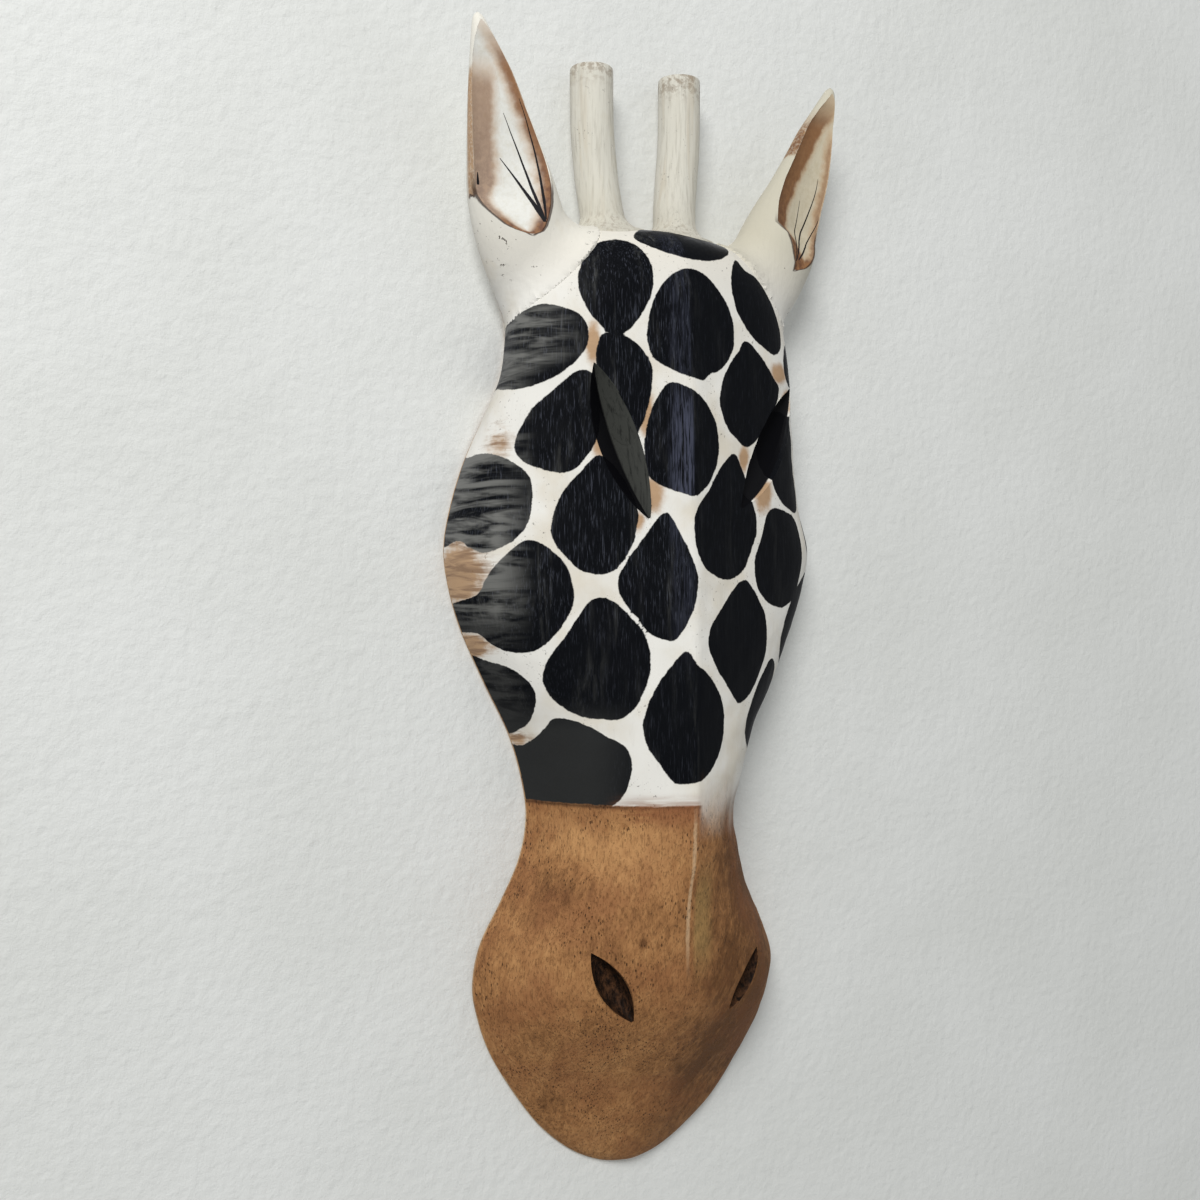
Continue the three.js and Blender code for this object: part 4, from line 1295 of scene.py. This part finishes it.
def ear_paint(side):
    s = Shader(f"painted {side} ear")
    height = s.axis("Z") * 1000
    outer, inner = s.attribute("from_outer"), s.attribute("from_inner")
    ragged = s.noise(4.5, 4, 0.62) - 0.5
    fine = s.noise(1.1, 3, 0.6)
    brush = s.noise(1.8, 4, 0.6, (1, 1, 9), 3.0, 0.4)
    mottle = s.noise(2.6, 4, 0.65, shift=4.0)
    wander = ragged * 5.0
    white = s.mix(s.between(height, -12, 22), white_ground(s), white_ground(s, EAR_TINT[side]))
    white = s.mix(specks(s, 2.4, 12) * s.between(height, 18, 8), white, SPECK)

    # airbrushed brown along the scoop's rims, widest at its foot and darkest at the very edge
    near_inner = s.between(inner + wander, *INNER_BAND[side])
    narrower = s.between(height, 32, 20) * (5.0 if side == "left" else 0.0)
    near_outer = s.between(outer + narrower + wander, *OUTER_BAND[side])
    near_outer = near_outer * (s.between(height, 84, 66) * 0.82)
    nearest = s.smaller(outer, inner)
    foot = s.between(height + ragged * 4.0, 22, 11) * s.between(nearest, 8.0, 3.0)
    amount = s.larger(s.larger(near_inner, near_outer), foot)
    amount = amount * (0.35 + s.between(height, 95, 74) * 0.65)
    lower = s.between(height, 62, 14)
    brown = s.mix(s.between(amount + ragged * 0.4, 0.45, 1.0), TAN, BROWN)
    rusty = s.between(amount, 0.55, 1.0) * s.between(mottle, 0.34, 0.62)
    brown = s.mix(rusty * (0.25 + lower * 0.7), brown, RUST)
    dusty = tuple(part * shade for part, shade in zip(SCOOP_WHITE[side], DUST_TINT))
    ground = s.mix(s.between(mottle, 0.4, 0.75) * 0.6, SCOOP_WHITE[side], dusty)
    scoop_colour = s.mix(amount * 0.95, ground, brown)
    for index in range(len(EAR_STROKES[side])):
        stroke = abs(s.attribute(f"stroke_{index}"))
        line = s.between(stroke + fine * 0.35, 1.25, 0.95)
        scoop_colour = s.mix(line, scoop_colour, STROKE_BLACK)

    # the brown runs over the rims: low on the outer flank, and near the tip on the inner one
    colour = s.mix(s.between(s.attribute("scoop"), 0.35, 0.65), white, scoop_colour)
    edge_height = height + ragged * 6.0
    beyond_outer = s.between(outer, 0.8, -0.2)
    flank = s.between(edge_height, 22.4, 23.6) * s.between(edge_height, 76.0, 70.0) * beyond_outer
    tip = s.between(edge_height, 60.0, 62.5) * s.between(edge_height, 86.0, 72.0)
    tip = tip * s.between(inner, 0.8, -0.2)
    front = s.between(s.attribute("forward"), -5.0, -1.0)
    over = s.larger(flank, tip) * front
    over_colour = s.mix(s.between(mottle, 0.4, 0.7) * 0.6, TAN, BROWN)
    over_colour = s.mix(tip * s.between(mottle, 0.25, 0.55), over_colour, TIP_BROWN)
    over_colour = s.mix(s.between(fine, 0.45, 0.65) * 0.35, over_colour, WARM_WHITE)
    colour = s.mix(over * 0.92, colour, over_colour)
    rim = s.between(abs(nearest + ragged), 0.95, 0.35)
    rim = rim * s.between(height, 34, 24) * s.between(height, 5.8, 6.6)
    rim_end = s.between(edge_height, 24.6, 23.6) * s.between(edge_height, 22.0, 22.8)
    rim = s.larger(rim, rim_end * beyond_outer)
    colour = s.mix(rim * front * 0.85, colour, DARK_EDGE)
    bare = s.between(s.axis("Y"), -0.0006, -0.00045)
    colour = s.mix(bare, colour, s.mix(s.between(brush, 0.35, 0.75), RAW_WOOD, RAW_SHADE))
    rough = 0.55 + brush * 0.14
    normal = s.bump(brush + mottle * 0.8, 0.16)
    return s.surface(Base_Color=colour, Roughness=rough, Normal=normal, Specular_IOR_Level=0.12)


def horn_paint():
    s = Shader("painted horns")
    height = s.axis("Z") * 1000
    brush = s.noise(1.1, 4, 0.65, (1, 1, 20), 3.0, 0.3)
    wide = s.noise(5, 3, 0.55, (1, 1, 12), 4.0, 0.3)
    white = white_ground(s, HORN_TINT)
    white = s.mix(s.between(brush, 0.46, 0.7) * 0.5, white, HORN_GREY)
    white = s.mix(s.between(wide, 0.52, 0.72) * 0.4, white, HORN_CREAM)
    dirt = s.between(height, 77, 91) * s.between(s.noise(3.0, 4, 0.68), 0.44, 0.6)
    # painted shade: the white darkens towards the root, where the horn meets the crown
    white = s.mix(s.between(height, 42, 20) * 0.35, white, HORN_ROOT_SHADE)
    root = s.between(height, 29, 20) * s.between(s.noise(1.6, 4, 0.65, (1, 1, 4)), 0.48, 0.66)
    grime = s.larger(dirt, root * 0.55)
    white = s.mix(grime * 0.65, white, GRIME)
    white = s.mix(specks(s, 1.5, 18) * 0.6, white, SPECK)
    rough = 0.58 + brush * 0.15
    normal = s.bump(brush + wide, 0.24)
    return s.surface(Base_Color=white, Roughness=rough, Normal=normal, Specular_IOR_Level=0.12)


def peg_wood():
    s = Shader("bamboo pegs")
    fibre = s.noise(0.8, 4, 0.6, (6, 1, 6), 2.0)
    tint = s.noise(6, 2, 0.5)
    colour = s.mix(s.between(fibre, 0.35, 0.7), PEG_LIGHT, PEG_DARK)
    colour = s.mix(tint * 0.3, colour, PEG_YELLOW)
    rough = 0.5 + fibre * 0.2
    return s.surface(Base_Color=colour, Roughness=rough, Normal=s.bump(fibre, 0.08))


def plated_steel(name, tone, grain_stretch):
    s = Shader(name)
    cloud = s.noise(5, 4, 0.6)
    scratch = s.noise(0.35, 3, 0.6, grain_stretch, 4.0)
    colour = s.mix(s.between(cloud, 0.35, 0.7), tone, tuple(0.78 * part for part in tone))
    stain = s.between(s.noise(2.2, 4, 0.7, shift=3.0), 0.62, 0.74)
    colour = s.mix(stain * 0.35, colour, STEEL_STAIN)
    rough = 0.27 + (scratch * 0.16 + stain * 0.2)
    return s.surface(Base_Color=colour, Roughness=rough, Metallic=1.0, Normal=s.bump(scratch, 0.015))


def wall_paint():
    """Pale plaster for the backdrop. Only rays that reach its front from the camera see it."""
    s = Shader("pale wall")
    grain = s.noise(5, 5, 0.6)
    lumps = s.noise(26, 3, 0.5)
    colour = s.mix(s.between(s.noise(120, 3, 0.5), 0.3, 0.7), *PLASTER)
    diffuse = s.node("ShaderNodeBsdfDiffuse")
    s.put(diffuse.inputs["Color"], colour)
    s.put(diffuse.inputs["Normal"], s.bump(grain + lumps, 0.8))
    clear = s.node("ShaderNodeBsdfTransparent")
    front = 1.0 - s.read("ShaderNodeNewGeometry", "Backfacing")
    seen = front * s.read("ShaderNodeLightPath", "Is Camera Ray")
    blend = s.node("ShaderNodeMixShader")
    s.put(blend.inputs[0], seen)
    s.put(blend.inputs[1], clear.outputs[0])
    s.put(blend.inputs[2], diffuse.outputs[0])
    s.put(s.output.inputs["Surface"], blend.outputs[0])
    return s.material


def floor_paint():
    s = Shader("pale floor")
    colour = s.mix(s.between(s.noise(200, 3, 0.5), 0.3, 0.7), *FLOOR)
    return s.surface(Base_Color=colour, Roughness=0.7)


# ---------------------------------------------------------------- stage, lights and camera

def plane(name, corners, material):
    mesh = bpy.data.meshes.new(name)
    mesh.from_pydata(corners, [], [(0, 1, 2, 3)])
    obj = add_object(name, mesh)
    mesh.materials.append(material)


def area_light(name, place, target, size, power, colour=(1, 1, 1)):
    lamp = bpy.data.lights.new(name, "AREA")
    lamp.shape = "DISK"
    lamp.size = size
    lamp.energy = power
    lamp.color = colour
    obj = add_object(name, lamp)
    obj.location = place
    obj.rotation_euler = (Vector(target) - Vector(place)).to_track_quat("-Z", "Y").to_euler()


def build_stage():
    behind, ground = 0.0012, -1.5
    plane("backdrop_wall", [(-3, behind, ground), (3, behind, ground), (3, behind, 2.5), (-3, behind, 2.5)],
          wall_paint())
    plane("floor", [(-5, -5, ground), (5, -5, ground), (5, 5, ground), (-5, 5, ground)], floor_paint())
    middle = (0, 0, -0.15)
    area_light("key", (-0.95, -1.3, 0.85), middle, 0.8, 26, (1.0, 0.995, 0.985))
    area_light("fill", (1.4, -1.8, 0.1), middle, 1.8, 2.5, (0.98, 0.99, 1.0))
    area_light("back_left", (-1.1, 1.5, 0.5), middle, 1.4, 7)
    area_light("back_right", (1.2, 1.4, 0.8), middle, 1.4, 10)
    world = bpy.data.worlds.new("soft room")
    world.use_nodes = True
    background = world.node_tree.nodes["Background"]
    background.inputs["Color"].default_value = (0.93, 0.95, 0.97, 1)
    background.inputs["Strength"].default_value = 0.40
    bpy.context.scene.world = world
    bpy.context.scene.view_settings.view_transform = "Standard"


def build_camera():
    data = bpy.data.cameras.new("camera")
    data.lens = 45
    data.sensor_width = 36
    camera = add_object("camera", data)
    camera.location = (-0.357, -0.5906, -0.146)
    camera.rotation_euler = (math.radians(90), 0, math.radians(-30))
    bpy.context.scene.camera = camera


# ---------------------------------------------------------------- assembly

def set_material(obj, material):
    obj.data.materials.clear()
    obj.data.materials.append(material)


def finish_piece(obj, node, body, material):
    set_material(obj, material)
    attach(obj, body)
    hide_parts(node)


build_camera()
build_stage()

finish_piece(build_head(), "head", "mask", head_paint())
horn_material = horn_paint()
for side in SIGN:
    finish_piece(build_ear(side), f"{side}_ear", "mask", ear_paint(side))
    finish_piece(build_horn(side), f"{side}_horn", "mask", horn_material)

pegs = peg_wood()
for side in SIGN:
    for kind in ("ear", "horn"):
        set_material(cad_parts[f"{side}_{kind}_dowel"], pegs)

strap_steel = plated_steel("strap steel", STEEL["strap"], (1, 1, 18))
ring_steel = plated_steel("ring steel", STEEL["ring"], (3, 3, 3))
screw_steel = plated_steel("screw steel", STEEL["screw"], (1, 8, 1))
ring = build_ring()
smooth_shade(ring, 60)
finish_piece(ring, "hanger_ring", "ring", ring_steel)
finish_piece(build_strap(), "hanger_strap", "mask", strap_steel)
for name, drop, turn in (("upper", SCREW_DROPS[0], 24), ("lower", SCREW_DROPS[1], 71)):
    finish_piece(build_screw(f"screw_{name}", drop, turn), f"hanger_screw_{name}", "mask",
                 screw_steel)
